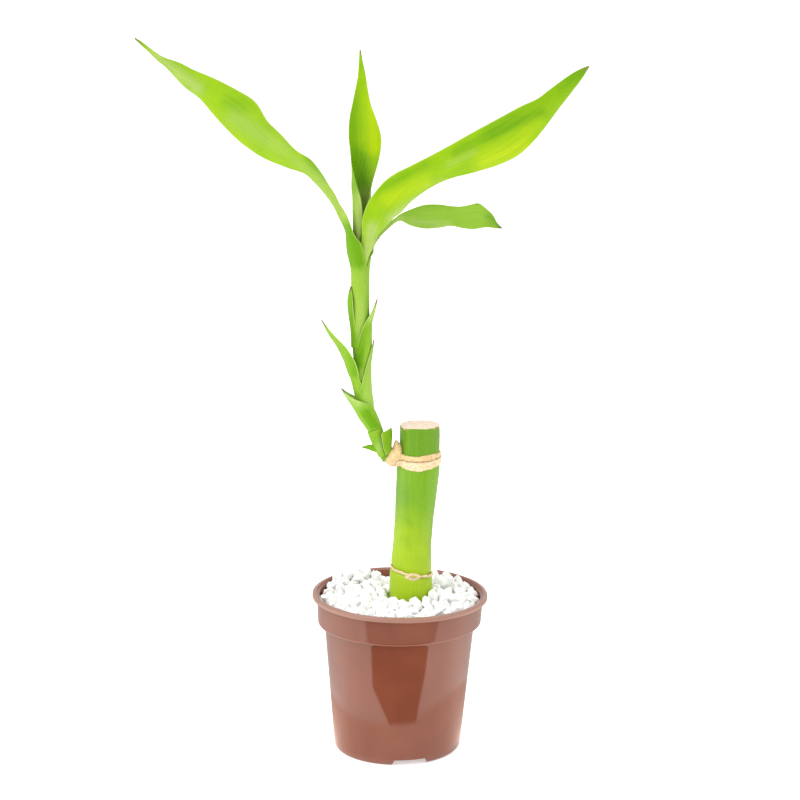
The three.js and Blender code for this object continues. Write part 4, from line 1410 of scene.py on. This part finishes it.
# %% Green tissue
def tissue(name, fresh, deep, yellow, pale, dry_tip, sheath, veins):
    """A leaf finish; veins is how many broad streaks lie across the leaf."""
    material, tree, surface = new_finish(name, 0.42, 0.1)
    parts = parts_of(tree, add(tree, "ShaderNodeUVMap", uv_map="UVMap").outputs[0])
    laid = add(tree, "ShaderNodeCombineXYZ", {"X": parts["X"], "Z": parts["Y"]}).outputs[0]
    cells = place_effect(tree, streaks, laid, Across=veins, Along=5.0)
    place = place_on(tree)
    cloudy = place_effect(tree, patches, place, Scale=110.0)["Mask"]
    skin_grain = place_effect(tree, grain, place, Scale=2400.0)["Grain"]
    uneven = plus(tree, 0.75, times(tree, cells["Broad"], 0.5))
    green = mixed(tree, times(tree, cloudy, 0.2), fresh, deep)
    rolled = mask(tree, marked(tree, "wrap"), 0.3, 0.75)
    green = mixed(tree, times(tree, rolled, 0.75), green, sheath)
    for mark, tone in {"deep": deep, "yellow": yellow, "pale": pale}.items():
        green = mixed(tree, times(tree, marked(tree, mark), uneven), green, tone)
    green = mixed(tree, times(tree, cells["Fine"], 0.22), green, deep)
    from_middle = reckon(tree, "ABSOLUTE", minus(tree, parts["X"], 0.5))
    free = minus(tree, 0.75, times(tree, rolled, 0.65))
    margin = times(tree, mask(tree, from_middle, 0.468, 0.488), free)
    green = mixed(tree, margin, green, pale)
    withered = plus(tree, marked(tree, "dry"), times(tree, cells["Broad"], 0.15))
    green = mixed(tree, mask(tree, withered, 0.15, 0.9), green, dry_tip)
    tree.links.new(green, surface.inputs["Base Color"])
    gloss = plus(tree, 0.36, times(tree, cloudy, 0.14))
    tree.links.new(gloss, surface.inputs["Roughness"])
    skin = plus(tree, cells["Fine"], times(tree, skin_grain, 0.2))
    relief(tree, surface, skin, 0.05)
    return material


blade_finish = tissue(
    "leaf_fresh_green",
    fresh=colour(142, 181, 8),
    deep=colour(96, 148, 4),
    yellow=colour(168, 192, 8),
    pale=colour(166, 187, 98),
    dry_tip=colour(122, 134, 52),
    sheath=colour(142, 176, 62),
    veins=46.0,
)
small_finish = tissue(
    "leaf_soft_green",
    fresh=colour(134, 174, 52),
    deep=colour(102, 146, 34),
    yellow=colour(156, 184, 54),
    pale=colour(164, 184, 106),
    dry_tip=colour(112, 108, 56),
    sheath=colour(156, 180, 96),
    veins=26.0,
)
scale_finish = tissue(
    "scale_fresh_green",
    fresh=colour(132, 172, 38),
    deep=colour(98, 150, 3),
    yellow=colour(160, 190, 40),
    pale=colour(182, 206, 124),
    dry_tip=colour(122, 106, 60),
    sheath=colour(144, 182, 62),
    veins=30.0,
)
print("leaf finishes:", blade_finish.name, small_finish.name, scale_finish.name)

# %% [markdown]
# ## One leaf as a piece
#
# With its stations, its strokes and its finish, a leaf is made in one go. Scales and long
# leaves are made by the same helper, because both are strips on the real plant. A tip
# withers over the last part of its length, and how far it has withered is a mark again.

# %% Making a leaf
def leaf(name, node, slot, stations, size, finish, tones, wave=(0, 0, 0.5), thick=BLADE, dry=0.965):
    """A leaf of rows and columns; it withers from the share dry of its length on."""
    points, faces, uv, wrap = leaf_strip(stations, *size, wave, thick)
    marks = {"wrap": wrap, "dry": np.clip((uv[:, 1] - dry) / (1.001 - dry), 0, 1)}
    for mark in ("deep", "yellow", "pale"):
        marks[mark] = stroked(points, tones.get(mark, []))
    mesh = mesh_from(name, points, faces, uv, marks, crease=70)
    settle(show(name, mesh, finish), slot, node)


print("blades are", BLADE, "mm thick")

# %% [markdown]
# ## The core of the shoot
#
# Where no sheath covers it, mostly near the callus, the green core of the shoot can be
# seen. It is as green as the sheaths and has the same fine streaks, but it has no margins
# and no tip, so it gets a short finish of its own instead of a leaf's.

# %% Shoot core finish
shoot_finish, tree, surface = new_finish("shoot_core_green", 0.4, 0.15)
place = place_on(tree)
cells = place_effect(tree, streaks, place, Across=2600.0, Along=120.0)
cloudy = place_effect(tree, patches, place, Scale=200.0)["Mask"]
green = mixed(tree, cloudy, colour(136, 176, 40), colour(114, 162, 28))
green = mixed(tree, times(tree, cells["Fine"], 0.35), green, colour(88, 138, 20))
tree.links.new(green, surface.inputs["Base Color"])
relief(tree, surface, cells["Fine"], 0.06)
settle(show("shoot_core", core_mesh, shoot_finish), "shoot", "shoot_stem")

# %% [markdown]
# ## Scale leaves
#
# The first leaves of a shoot stay short: they are scales that clasp the stem and end in a
# point that stands off it, one after the other on alternate sides. Eight of them climb
# from the callus to the big leaves. Seven of them are strips whose arcs begin as a sheath
# round the shoot; the first two of these end bluntly and stay green, and the others narrow
# to a dry tip. The lowest scale sticks out sideways, so it is drawn by its margins.

# %% Stations of the scale leaves
SCALES = {
    2: [[103.6, 226, 1.9, 50], [106, 228, 2.1, 60], [109, 234, 2.5, 64], [112.4, 240, 2.85, 62]],
    3: [
        [103.8, 334, 2.4, 50],
        [106, 332, 3.2, 50],
        [108, 330, 4.1, 46],
        [109.8, 328, 4.7, 42],
        [110.8, 326, 4.9, 38],
        [111.4, 325, 5, 30],
    ],
    4: [
        [109.8, 195, 2.2, 150],
        [112, 195, 2.3, 150],
        [115, 193, 2.75, 145],
        [117.2, 192, 3.15, 138],
        [119.5, 190, 3.5, 126],
        [121.5, 187, 4.15, 96],
        [123.6, 184, 5.1, 56],
        [126.6, 182, 6.7, 12],
    ],
    5: [
        [117, 350, 2.25, 150],
        [118.5, 350, 2.25, 145],
        [121, 350, 2.8, 140],
        [124, 351, 3, 112],
        [127, 352, 3.15, 84],
        [130, 352, 3.2, 68],
        [134.4, 352, 3.25, 44],
        [138.5, 355, 3.7, 26],
        [142.6, 355, 4.4, 9],
    ],
    6: [
        [122, 185, 2.25, 150],
        [124, 185, 2.3, 145],
        [127, 185, 2.6, 104],
        [129.5, 185, 3.2, 78],
        [132, 188, 4.2, 72],
        [135.5, 194, 5.4, 58],
        [140.5, 199, 8, 37],
        [145.2, 197, 10.6, 21],
        [149.9, 192, 13, 5],
    ],
    7: [
        [129, 350, 2.3, 150],
        [133, 350, 2.35, 140],
        [137, 350, 2.7, 116],
        [141, 350, 3.25, 98],
        [145, 350, 3.45, 80],
        [148.2, 350, 3.75, 56],
        [151.5, 350, 4.6, 31],
        [156.2, 354, 5.8, 9],
    ],
    8: [
        [140, 182, 2.9, 80],
        [144, 184, 2.95, 68],
        [147.5, 188, 3.1, 52],
        [151, 192, 3.5, 44],
        [155, 194, 3.85, 40],
        [158, 196, 3.5, 28],
        [160.5, 198, 3.1, 10],
    ],
}
print("scale leaves that wrap the shoot:", len(SCALES))

# %% Tones of the scale leaves
SCALE_DEPTH = {
    1: [[-12, 105, -9, 105, 2, 0.7]],
    2: [[-9, 104, -8, 108, 1.6, 0.4]],
    3: [[-5, 106, -3, 112, 2, 0.5]],
    4: [[-10.8, 117, -9, 113, 2.4, 0.95], [-14, 119, -12, 117, 1.4, 0.3]],
    5: [[-15.6, 121, -14.6, 126, 1.8, 0.95]],
    6: [[-15.2, 131, -15.4, 136, 1.6, 0.8], [-20, 145, -16, 138, 1, 0.6]],
    7: [[-13, 147, -13.2, 134, 1.7, 0.95]],
    # Painted shadow: this stroke darkens a line along the front margin of scale 8.
    8: [[-16.4, 143, -16.6, 158, 2, 0.6]],
}
SCALE_LIGHT = {
    2: [[-8, 104, -5, 110, 1.6, 0.3]],
    3: [[-11, 108, -10, 112, 1.4, 0.5]],
    4: [[-19, 124.5, -14, 120.5, 1.3, 0.6]],
    5: [[-10.5, 118, -10, 138, 1.6, 0.3]],
    7: [[-10, 150, -8, 155, 1.4, 0.6]],
}
print("strokes on the scales:", sum(map(len, [*SCALE_DEPTH.values(), *SCALE_LIGHT.values()])))

# %% Scale leaves
SCALE_THICK = 0.8
LOWEST_SCALE = [
    [[-5.6, 107], [-5.6, 102.6], -2.2, -2.6, 70, [0.2, 1, 0]],
    [[-8, 106.6], [-8, 103.8], -2.6, -2.9, 60, [0.2, 1, 0]],
    [[-9.5, 106.4], [-9.5, 104.3], -2.6, -2.8, 50, [0.2, 1, 0]],
    [[-11, 106.2], [-11, 104.9], -2.5, -2.6, 36, [0.2, 1, 0]],
    [[-12.2, 105.8], [-12.2, 105.2], -2.4, -2.5, 16, [0.2, 1, 0]],
    [[-12.7, 105.5], [-12.7, 105.4], -2.4, -2.4, 8, [0.2, 1, 0]],
]
rows_of_scales = {number: [wrapped(*row) for row in rows] for number, rows in SCALES.items()}
rows_of_scales[1] = [opened(*row) for row in LOWEST_SCALE]
for number, stations in rows_of_scales.items():
    fine = 12 * (len(stations) - 1)
    tones = {"deep": SCALE_DEPTH[number], "pale": SCALE_LIGHT.get(number, [])}
    piece_name, node = f"scale_{number}", f"scale_leaf_{number}"
    dry = 1 if number in (2, 3) else 0.88
    settings = {"thick": SCALE_THICK, "dry": dry}
    leaf(piece_name, node, "scale_leaf", stations, (fine, 24), scale_finish, tones, **settings)

# %% [markdown]
# ## The four leaves
#
# Above the scales come the real leaves: a small wavy one low on the right, the two long
# ones to the left and the right, and the youngest in the middle, still rolled into a
# funnel. Most of their stations are those of the solid model, but the sheaths reach
# further down and hug the shoot closer here. The margins also wave by half a millimetre
# or less, as such soft leaves do, and each leaf gets its own strokes of tone.
#
# The small leaf is the first. Its sheath lies on the right of the shoot and narrows to a
# stalk, and its blade leads off to the right and away from the viewer.

# %% Small leaf
def stations_of(sheath, blade):
    """The stations of a leaf: first those of its sheath, then those of its blade."""
    return [wrapped(*row) for row in sheath] + [opened(*row) for row in blade]


SMALL_LEAF = stations_of(
    [
        [143, 10, 2.85, 90],
        [147.5, 8, 2.88, 80],
        [152.5, 5, 2.9, 70],
        [156, 2, 2.9, 62],
        [161, 0, 2.9, 52],
        [166, 0, 3, 42],
        [170, 4, 3.5, 26],
    ],
    [
        [[-10, 174.1], [-8.6, 173.4], 1, 1.6, 30, [-0.8, -0.4, 0.6]],
        [[-8, 177.6], [-6.8, 176.6], 2.6, 3.2, 26, [-0.8, -0.4, 0.6]],
        [[-4.7, 180.9], [-3.7, 179.8], 4.8, 5.2, 20, [-0.6, -0.6, 0.7]],
        [[-1.8, 183.1], [-0.8, 182.1], 6, 6.4, 18, [-0.5, -0.7, 0.6]],
        [[0.5, 184.8], [0.9, 182.1], 7.2, 7.2, 18, [-0.3, -0.9, 0.5]],
        [[3.6, 186.2], [3.6, 180.7], 8.6, 7.8, 18, [-0.2, -0.9, 0.4]],
        [[8.2, 187.7], [8.2, 179.7], 10, 8.8, 20, [0, -0.9, 0.3]],
        [[13.1, 187.8], [12.3, 180], 11.4, 10, 20, [0, -0.9, 0.3]],
        [[16.1, 187.2], [16.5, 180.6], 12, 11.2, 20, [0, -0.9, 0.3]],
        [[19.2, 187.2], [20.4, 179.8], 12.8, 12.2, 20, [0, -0.9, 0.3]],
        [[23, 187.8], [23.7, 179.6], 13.8, 13, 20, [0, -0.9, 0.3]],
        [[26, 188], [26.4, 179.9], 14.6, 13.8, 20, [0.1, -0.9, 0.3]],
        [[28.6, 186.3], [28.7, 180], 15.2, 14.6, 18, [0.2, -0.9, 0.3]],
        [[30.6, 184.3], [30.7, 180], 15.8, 15.4, 14, [0.3, -0.9, 0.4]],
        [[32.2, 181.6], [32.2, 179.8], 16.4, 16.2, 10, [0.3, -0.9, 0.4]],
        [[33.6, 180.1], [33.5, 179.7], 17, 17, 8, [0.3, -0.9, 0.4]],
    ],
)
SMALL_TONES = {
    "deep": [[2, 187, 18, 188, 1, 0.5], [30, 184, 34, 180, 2, 0.8], [-8, 176, -3, 182, 0.7, 0.5]],
    "pale": [[4, 182, 16, 181, 1.4, 0.4], [-8.6, 174, 0, 183, 1.4, 0.6]],
}
leaf("small_blade", "small_leaf", "leaf", SMALL_LEAF, (120, 20), small_finish, SMALL_TONES, (0.5, 7, 0.55))

# %% [markdown]
# ## The long leaf on the left
#
# Its sheath comes out of the scales, closes round the shoot and holds the next two leaves.
# Above it the leaf narrows to a stalk, turns out to the left and widens into a blade that
# leans towards the viewer.

# %% Left leaf
LEFT_LEAF = stations_of(
    [
        [134, 185, 1.95, 172],
        [138, 185, 2.35, 172],
        [142, 185, 2.6, 172],
        [150, 185, 2.65, 172],
        [158, 185, 2.65, 170],
        [163, 185, 2.65, 160],
        [166, 185, 2.75, 148],
        [168.5, 185, 3.25, 128],
        [172, 185, 4.1, 108],
        [175.5, 187, 4.5, 86],
        [179, 190, 5.1, 52],
    ],
    [
        [[-19.4, 187.3], [-21, 185.4], -4, -2, 34, [0.5, 0.75, 0.3]],
        [[-21.3, 191.1], [-22.8, 188.6], -4.6, -2.4, 30, [0.4, 0.8, 0.3]],
        [[-23.3, 194.2], [-25.3, 191.9], -5, -2.8, 26, [0.4, 0.85, 0.3]],
        [[-26, 198.6], [-28, 194.9], -5.8, -3.2, 23, [0.3, 0.88, 0.3]],
        [[-29.4, 202.8], [-31.3, 197.9], -6.8, -3.8, 20, [0.3, 0.9, 0.3]],
        [[-34, 205.7], [-37.2, 199.8], -8.2, -4.8, 17, [0.3, 0.9, 0.3]],
        [[-39.1, 211], [-44.4, 202.7], -10.4, -6.2, 15, [0.3, 0.9, 0.3]],
        [[-43.4, 215.3], [-50.2, 206.8], -12.2, -7.6, 14, [0.3, 0.9, 0.3]],
        [[-47.2, 221.6], [-54.9, 211.2], -14.4, -9.2, 13, [0.3, 0.9, 0.3]],
        [[-53.4, 225.7], [-60.4, 216.9], -16.4, -11.8, 13, [0.3, 0.9, 0.3]],
        [[-60.4, 229.2], [-65.2, 222.1], -18.4, -14.6, 14, [0.3, 0.9, 0.3]],
        [[-66.8, 231.7], [-70.4, 226], -20, -17, 14, [0.2, 0.9, 0.3]],
        [[-71.6, 234], [-73.9, 230.2], -21.2, -19, 13, [0.2, 0.9, 0.3]],
        [[-75.5, 235.4], [-76.5, 233.5], -22.2, -20.8, 12, [0.2, 0.9, 0.3]],
        [[-78.1, 236.9], [-79, 235.4], -23, -21.8, 11, [0.1, 0.9, 0.3]],
        [[-82.5, 240.1], [-83.2, 239.1], -24.2, -23.4, 9, [0.1, 0.9, 0.3]],
        [[-85.9, 242.2], [-86, 241.9], -25, -25, 8, [0.1, 0.9, 0.3]],
    ],
)
LEFT_TONES = {
    "deep": [
        [-55, 221.5, -52, 220, 3, 0.5],
        [-30, 203, -25, 196, 1.6, 0.7],
        [-54, 216, -45, 210, 3.2, 0.4],
        [-76, 234, -64, 226, 2, 0.25],
        # Painted shade: these three strokes darken the top of the left sheath, under the parting leaves.
        [-17.4, 181, -16.2, 168.5, 2.4, 1.0],
        [-14.6, 178, -13, 168.5, 2.4, 0.8],
        [-16, 180, -14.6, 177, 1.6, 1.0],
    ],
    "yellow": [[-66, 221, -50, 207, 2.2, 0.3]],
    "pale": [
        [-54, 216, -38, 206, 3.2, 0.4],
        [-34, 202, -30, 199, 2, 0.4],
        [-80, 237, -66, 226, 2.2, 0.7],
        [-27, 196, -18, 184, 2.4, 0.6],
        [-13, 140, -13.2, 154, 3, 0.4],
    ],
}
leaf("left_blade", "left_leaf", "leaf", LEFT_LEAF, (140, 30), blade_finish, LEFT_TONES, (0.5, 5, 0.5))

# %% [markdown]
# ## The long leaf on the right
#
# Its sheath stands inside the left leaf's. It opens into a trough and then into a blade
# that climbs to the right. Light that comes through turns some stretches of it yellow.

# %% Right leaf
RIGHT_LEAF = stations_of(
    [
        [154.5, 350, 1.3, 150],
        [156.5, 350, 1.5, 150],
        [159, 350, 1.75, 150],
        [163, 350, 2.1, 150],
        [167, 352, 2.5, 128],
        [170.5, 354, 3, 98],
    ],
    [
        [[-9.4, 174.2], [-12.8, 175.6], 1.4, -2.7, 80, [-0.9, 0.1, 0.2]],
        [[-7.6, 177.4], [-12.6, 178.6], 0.9, -3.9, 58, [-0.8, 0.4, 0.3]],
        [[-4.5, 180.6], [-12.4, 183], 0.7, -4.6, 50, [-0.7, 0.5, 0.5]],
        [[-1.7, 183.6], [-10.6, 188.2], 0, -5, 40, [-0.5, 0.5, 0.5]],
        [[0.9, 185.7], [-6, 194.6], -0.5, -5.2, 31, [-0.4, 0.7, 0.4]],
        [[4, 189], [-2, 197.8], -0.3, -5.1, 27, [-0.35, 0.8, 0.4]],
        [[9.7, 193.1], [2.9, 200.3], 0.1, -4.9, 24, [-0.3, 0.85, 0.35]],
        [[16.2, 196.3], [9.4, 203.6], 0.6, -4.3, 21, [-0.3, 0.85, 0.35]],
        [[24, 198.2], [16.7, 207.5], 1.6, -3.4, 18, [-0.25, 0.88, 0.35]],
        [[31.6, 200.3], [23.8, 211.6], 2.6, -2.4, 16, [-0.2, 0.9, 0.35]],
        [[37.6, 203.2], [29.7, 214.9], 3.4, -1.2, 15, [-0.2, 0.9, 0.35]],
        [[42.2, 207.3], [34, 217.2], 4.1, -0.2, 14, [-0.2, 0.9, 0.35]],
        [[46.7, 212.4], [39.4, 220], 4.8, 1.1, 14, [-0.2, 0.9, 0.35]],
        [[50.7, 217.4], [44.7, 222.4], 5.4, 2.4, 13, [-0.2, 0.9, 0.35]],
        [[54.1, 221.9], [48.6, 225.5], 6, 3.8, 12, [-0.2, 0.9, 0.35]],
        [[57.4, 226.7], [53.8, 229.4], 6.8, 5.2, 11, [-0.2, 0.9, 0.35]],
        [[59.8, 230.1], [57.5, 231.6], 7.3, 6.3, 10, [-0.2, 0.9, 0.35]],
        [[61.6, 232.8], [61.3, 233.2], 7.8, 7.6, 8, [-0.2, 0.9, 0.35]],
    ],
)
RIGHT_TONES = {
    "deep": [
        [30, 213, 62, 233, 4, 0.5],
        [56, 230, 64, 235, 3, 0.3],
        [18, 205, 46, 218, 1.8, 0.6],
        [-8, 192, 8, 201, 1.6, 0.5],
    ],
    "yellow": [[28, 202, 40, 207, 3.6, 0.95], [-4, 189, 8, 195, 2.6, 0.8], [42, 212, 45, 214, 2.4, 0.4]],
    "pale": [[-3, 183, 14, 194, 1.8, 0.8], [-11, 168, -9, 180, 2, 0.9], [16, 201, 24, 205, 1.2, 0.3]],
}
leaf("right_blade", "right_leaf", "leaf", RIGHT_LEAF, (140, 30), blade_finish, RIGHT_TONES, (0.4, 5, 0.5))

# %% [markdown]
# ## The youngest leaf
#
# It stands upright in the middle and its margins don't wave yet. Its lower half is still
# rolled into a funnel that opens towards the viewer, dark inside and pale outside.

# %% Centre leaf
CENTRE_LEAF = stations_of(
    [
        [159.5, 112, 1, 155],
        [163, 112, 1, 155],
        [168, 112, 1.15, 158],
        [173, 112, 1.6, 160],
        [178, 112, 2.2, 162],
        [183, 112, 2.6, 165],
        [187, 112, 2.75, 163],
        [190.5, 116, 2.9, 146],
        [194.5, 116, 3.25, 124],
    ],
    [
        [[-16.2, 204], [-6.8, 203], -0.6, -0.2, 74, [0, -1, 0.1]],
        [[-16.8, 210], [-6.1, 209.4], 0.2, 0.4, 60, [0, -1, 0.1]],
        [[-16.5, 216], [-7.6, 215.4], 0.8, 0.8, 50, [0, -1, 0.1]],
        [[-15.5, 221], [-9.4, 220.4], 1.4, 1.4, 42, [0, -1, 0.1]],
        [[-14.6, 225.3], [-10.4, 225], 1.8, 1.8, 36, [0, -1, 0.1]],
        [[-13.7, 230], [-11.1, 229.8], 2.2, 2.2, 30, [0, -1, 0.1]],
        [[-13.3, 235.4], [-12.2, 235.2], 2.6, 2.6, 22, [0, -1, 0.1]],
        [[-13.1, 238.2], [-12.7, 238.2], 2.8, 2.8, 10, [0, -1, 0.1]],
    ],
)
CENTRE_TONES = {
    "deep": [[-16, 226, -15.4, 202, 2.2, 0.7], [-13, 203, -13, 192, 3, 1.0]],
    "yellow": [[-9, 222, -8.4, 206, 2.2, 0.95]],
    "pale": [[-12.6, 190, -12.8, 174, 3, 0.8]],
}
leaf("centre_blade", "centre_leaf", "leaf", CENTRE_LEAF, (120, 30), blade_finish, CENTRE_TONES)

# %% [markdown]
# ## Studio
#
# The plant stands on a white floor under broad soft light, as for a catalogue: a bright
# surround on all sides, a large soft lamp from the upper left, a weaker one from the
# right and a third from above. The glossy pot also mirrors the table in front of it. A
# glowing reflection board lies there with a dark gap in front, and the gap is what draws
# the darker panel down the front of the pot. The gap begins five centimetres from the
# middle of the pot and widens outwards. Two edges bound it on each side, and an edge is a
# bearing at some distance and how fast it turns outwards from there. The board is
# brightest in front and weaker behind, and close to the pot it is warmer and a little
# weaker too. It is seen in reflections only.

# %% Floor
floor_finish, tree, surface = new_finish("floor_white", 0.9, 0.1)
place = place_on(tree)
faint = place_effect(tree, patches, place, Scale=3.0)["Mask"]
paper = mixed(tree, faint, colour(246, 246, 246), colour(244, 244, 244))
tree.links.new(paper, surface.inputs["Base Color"])
surface.inputs["Emission Color"].default_value = (1, 1, 1, 1)
surface.inputs["Emission Strength"].default_value = 0.5
floor_mesh = mesh_from(
    "floor", [(-6e3, -3e3, 0), (6e3, -3e3, 0), (6e3, 9e3, 0), (-6e3, 9e3, 0)], [(0, 1, 2, 3)]
)
show("floor", floor_mesh, floor_finish)
print("floor:", floor_finish.name)

# %% The glow of the reflection board
glow = bpy.data.materials.new("board_glow")
glow.use_nodes = True
tree = glow.node_tree
tree.nodes.clear()
place = place_on(tree)
parts = parts_of(tree, place)
distance = add(tree, "ShaderNodeVectorMath", {0: place}, operation="LENGTH").outputs["Value"]
forwards = times(tree, parts["Y"], -1.0)
in_front = mask(tree, reckon(tree, "DIVIDE", forwards, distance), -0.9, 0.1)
strength = plus(tree, times(tree, in_front, 1.6), 0.8)
bearing = reckon(tree, "ARCTAN2", parts["X"], forwards)
print("board material:", glow.name)

# %% The gap in the glow
LEFT, RIGHT = -1.0, 1.0
GAP_EDGES = [
    (LEFT, 14.5, 0.05, 16.6),
    (LEFT, 38.3, 0.077, 1.4),
    (RIGHT, 24.3, 0.049, 7.6),
    (RIGHT, 38.1, 0.082, 3.4),
]


def within(side, turn, start, slope):
    """1 inside one edge of the gap: a bearing in degrees at a distance, and its slope."""
    beyond = times(tree, minus(tree, distance, start), slope)
    reach = plus(tree, math.radians(turn), beyond)
    room = minus(tree, reach, times(tree, bearing, side))
    return mask(tree, room, -0.015, 0.03)


gap = mask(tree, distance, 0.0465, 0.0495)
for edge in GAP_EDGES:
    gap = times(tree, gap, within(*edge))
veil = times(tree, mask(tree, distance, 0.104, 0.115), 0.35)
closed = times(tree, gap, minus(tree, 1.0, veil))
strength = times(tree, strength, minus(tree, 1.0, closed))
print("edges of the gap:", len(GAP_EDGES))

# %% The board
centred = add(tree, "ShaderNodeVectorMath", {0: place, 1: (0.005, 0.009, 0)}, operation="SUBTRACT")
round_pot = add(tree, "ShaderNodeVectorMath", {0: centred.outputs[0]}, operation="LENGTH")
far = mask(tree, round_pot.outputs["Value"], 0.056, 0.063)
strength = times(tree, strength, plus(tree, 0.85, times(tree, far, 0.15)))
tint = mixed(tree, far, (1, 0.78, 0.68, 1), (1, 0.95, 0.9, 1))
lamp = add(tree, "ShaderNodeEmission", {"Color": tint, "Strength": strength})
add(tree, "ShaderNodeOutputMaterial", {"Surface": lamp.outputs[0]})
BOARD_INNER, BOARD_OUTER, BOARD_LEVEL = 23, 700, 0.2
sides = 96
corners = np.vstack([ring_of(radius, BOARD_LEVEL, sides) for radius in (BOARD_INNER, BOARD_OUTER)])
board_mesh = mesh_from("board", corners, turned_over(between(2, sides)))
board = show("reflection_board", board_mesh, glow)
for kind in ("camera", "diffuse", "transmission", "volume_scatter", "shadow"):
    setattr(board, f"visible_{kind}", False)
print("the board lies", BOARD_LEVEL, "mm above the floor")


# %% Lamps and surround
def soft_lamp(name, spot, size, power):
    """A square lamp that looks at the middle of the plant."""
    light = bpy.data.lights.new(name, "AREA")
    light.shape = "SQUARE"
    light.size = size
    light.energy = power
    lamp = placed(name, light)
    lamp.location = spot
    aim = Vector((0, 0, 0.12)) - lamp.location
    lamp.rotation_euler = aim.to_track_quat("-Z", "Y").to_euler()


soft_lamp("key_lamp", (-1.2, -0.8, 1.3), 1.3, 20)
soft_lamp("fill_lamp", (1.3, -0.8, 0.9), 1.4, 7)
soft_lamp("top_lamp", (0.1, 0.4, 1.6), 1.6, 12)
surround = bpy.data.worlds.new("surround")
surround.use_nodes = True
background = surround.node_tree.nodes["Background"]
background.inputs["Color"].default_value = (1, 1, 1, 1)
background.inputs["Strength"].default_value = 0.8
scene = bpy.context.scene
scene.world = surround
scene.view_settings.view_transform = "Standard"
print("lamps:", ", ".join(sorted(light.name for light in bpy.data.lights)))

# %% [markdown]
# ## Camera
#
# The camera stands where the photograph was taken from, as far as the ellipse of the rim
# and the height of the pot tell: 80 cm in front of the plant, about 30 cm above the table
# and pitched 12.9 degrees down. Its long lens keeps the uprights nearly parallel. Two of
# its numbers are those of the eye that the leaves were sighted from.

# %% Camera
PITCH = 12.9
lens = bpy.data.cameras.new("camera")
lens.sensor_width = 36
lens.lens = 110.25
camera = placed("camera", lens)
camera.location = (EYE * MM).tolist()
camera.rotation_euler = (math.radians(90 - PITCH), 0, 0)
scene.camera = camera
print("camera at", tuple(round(x, 3) for x in camera.location))
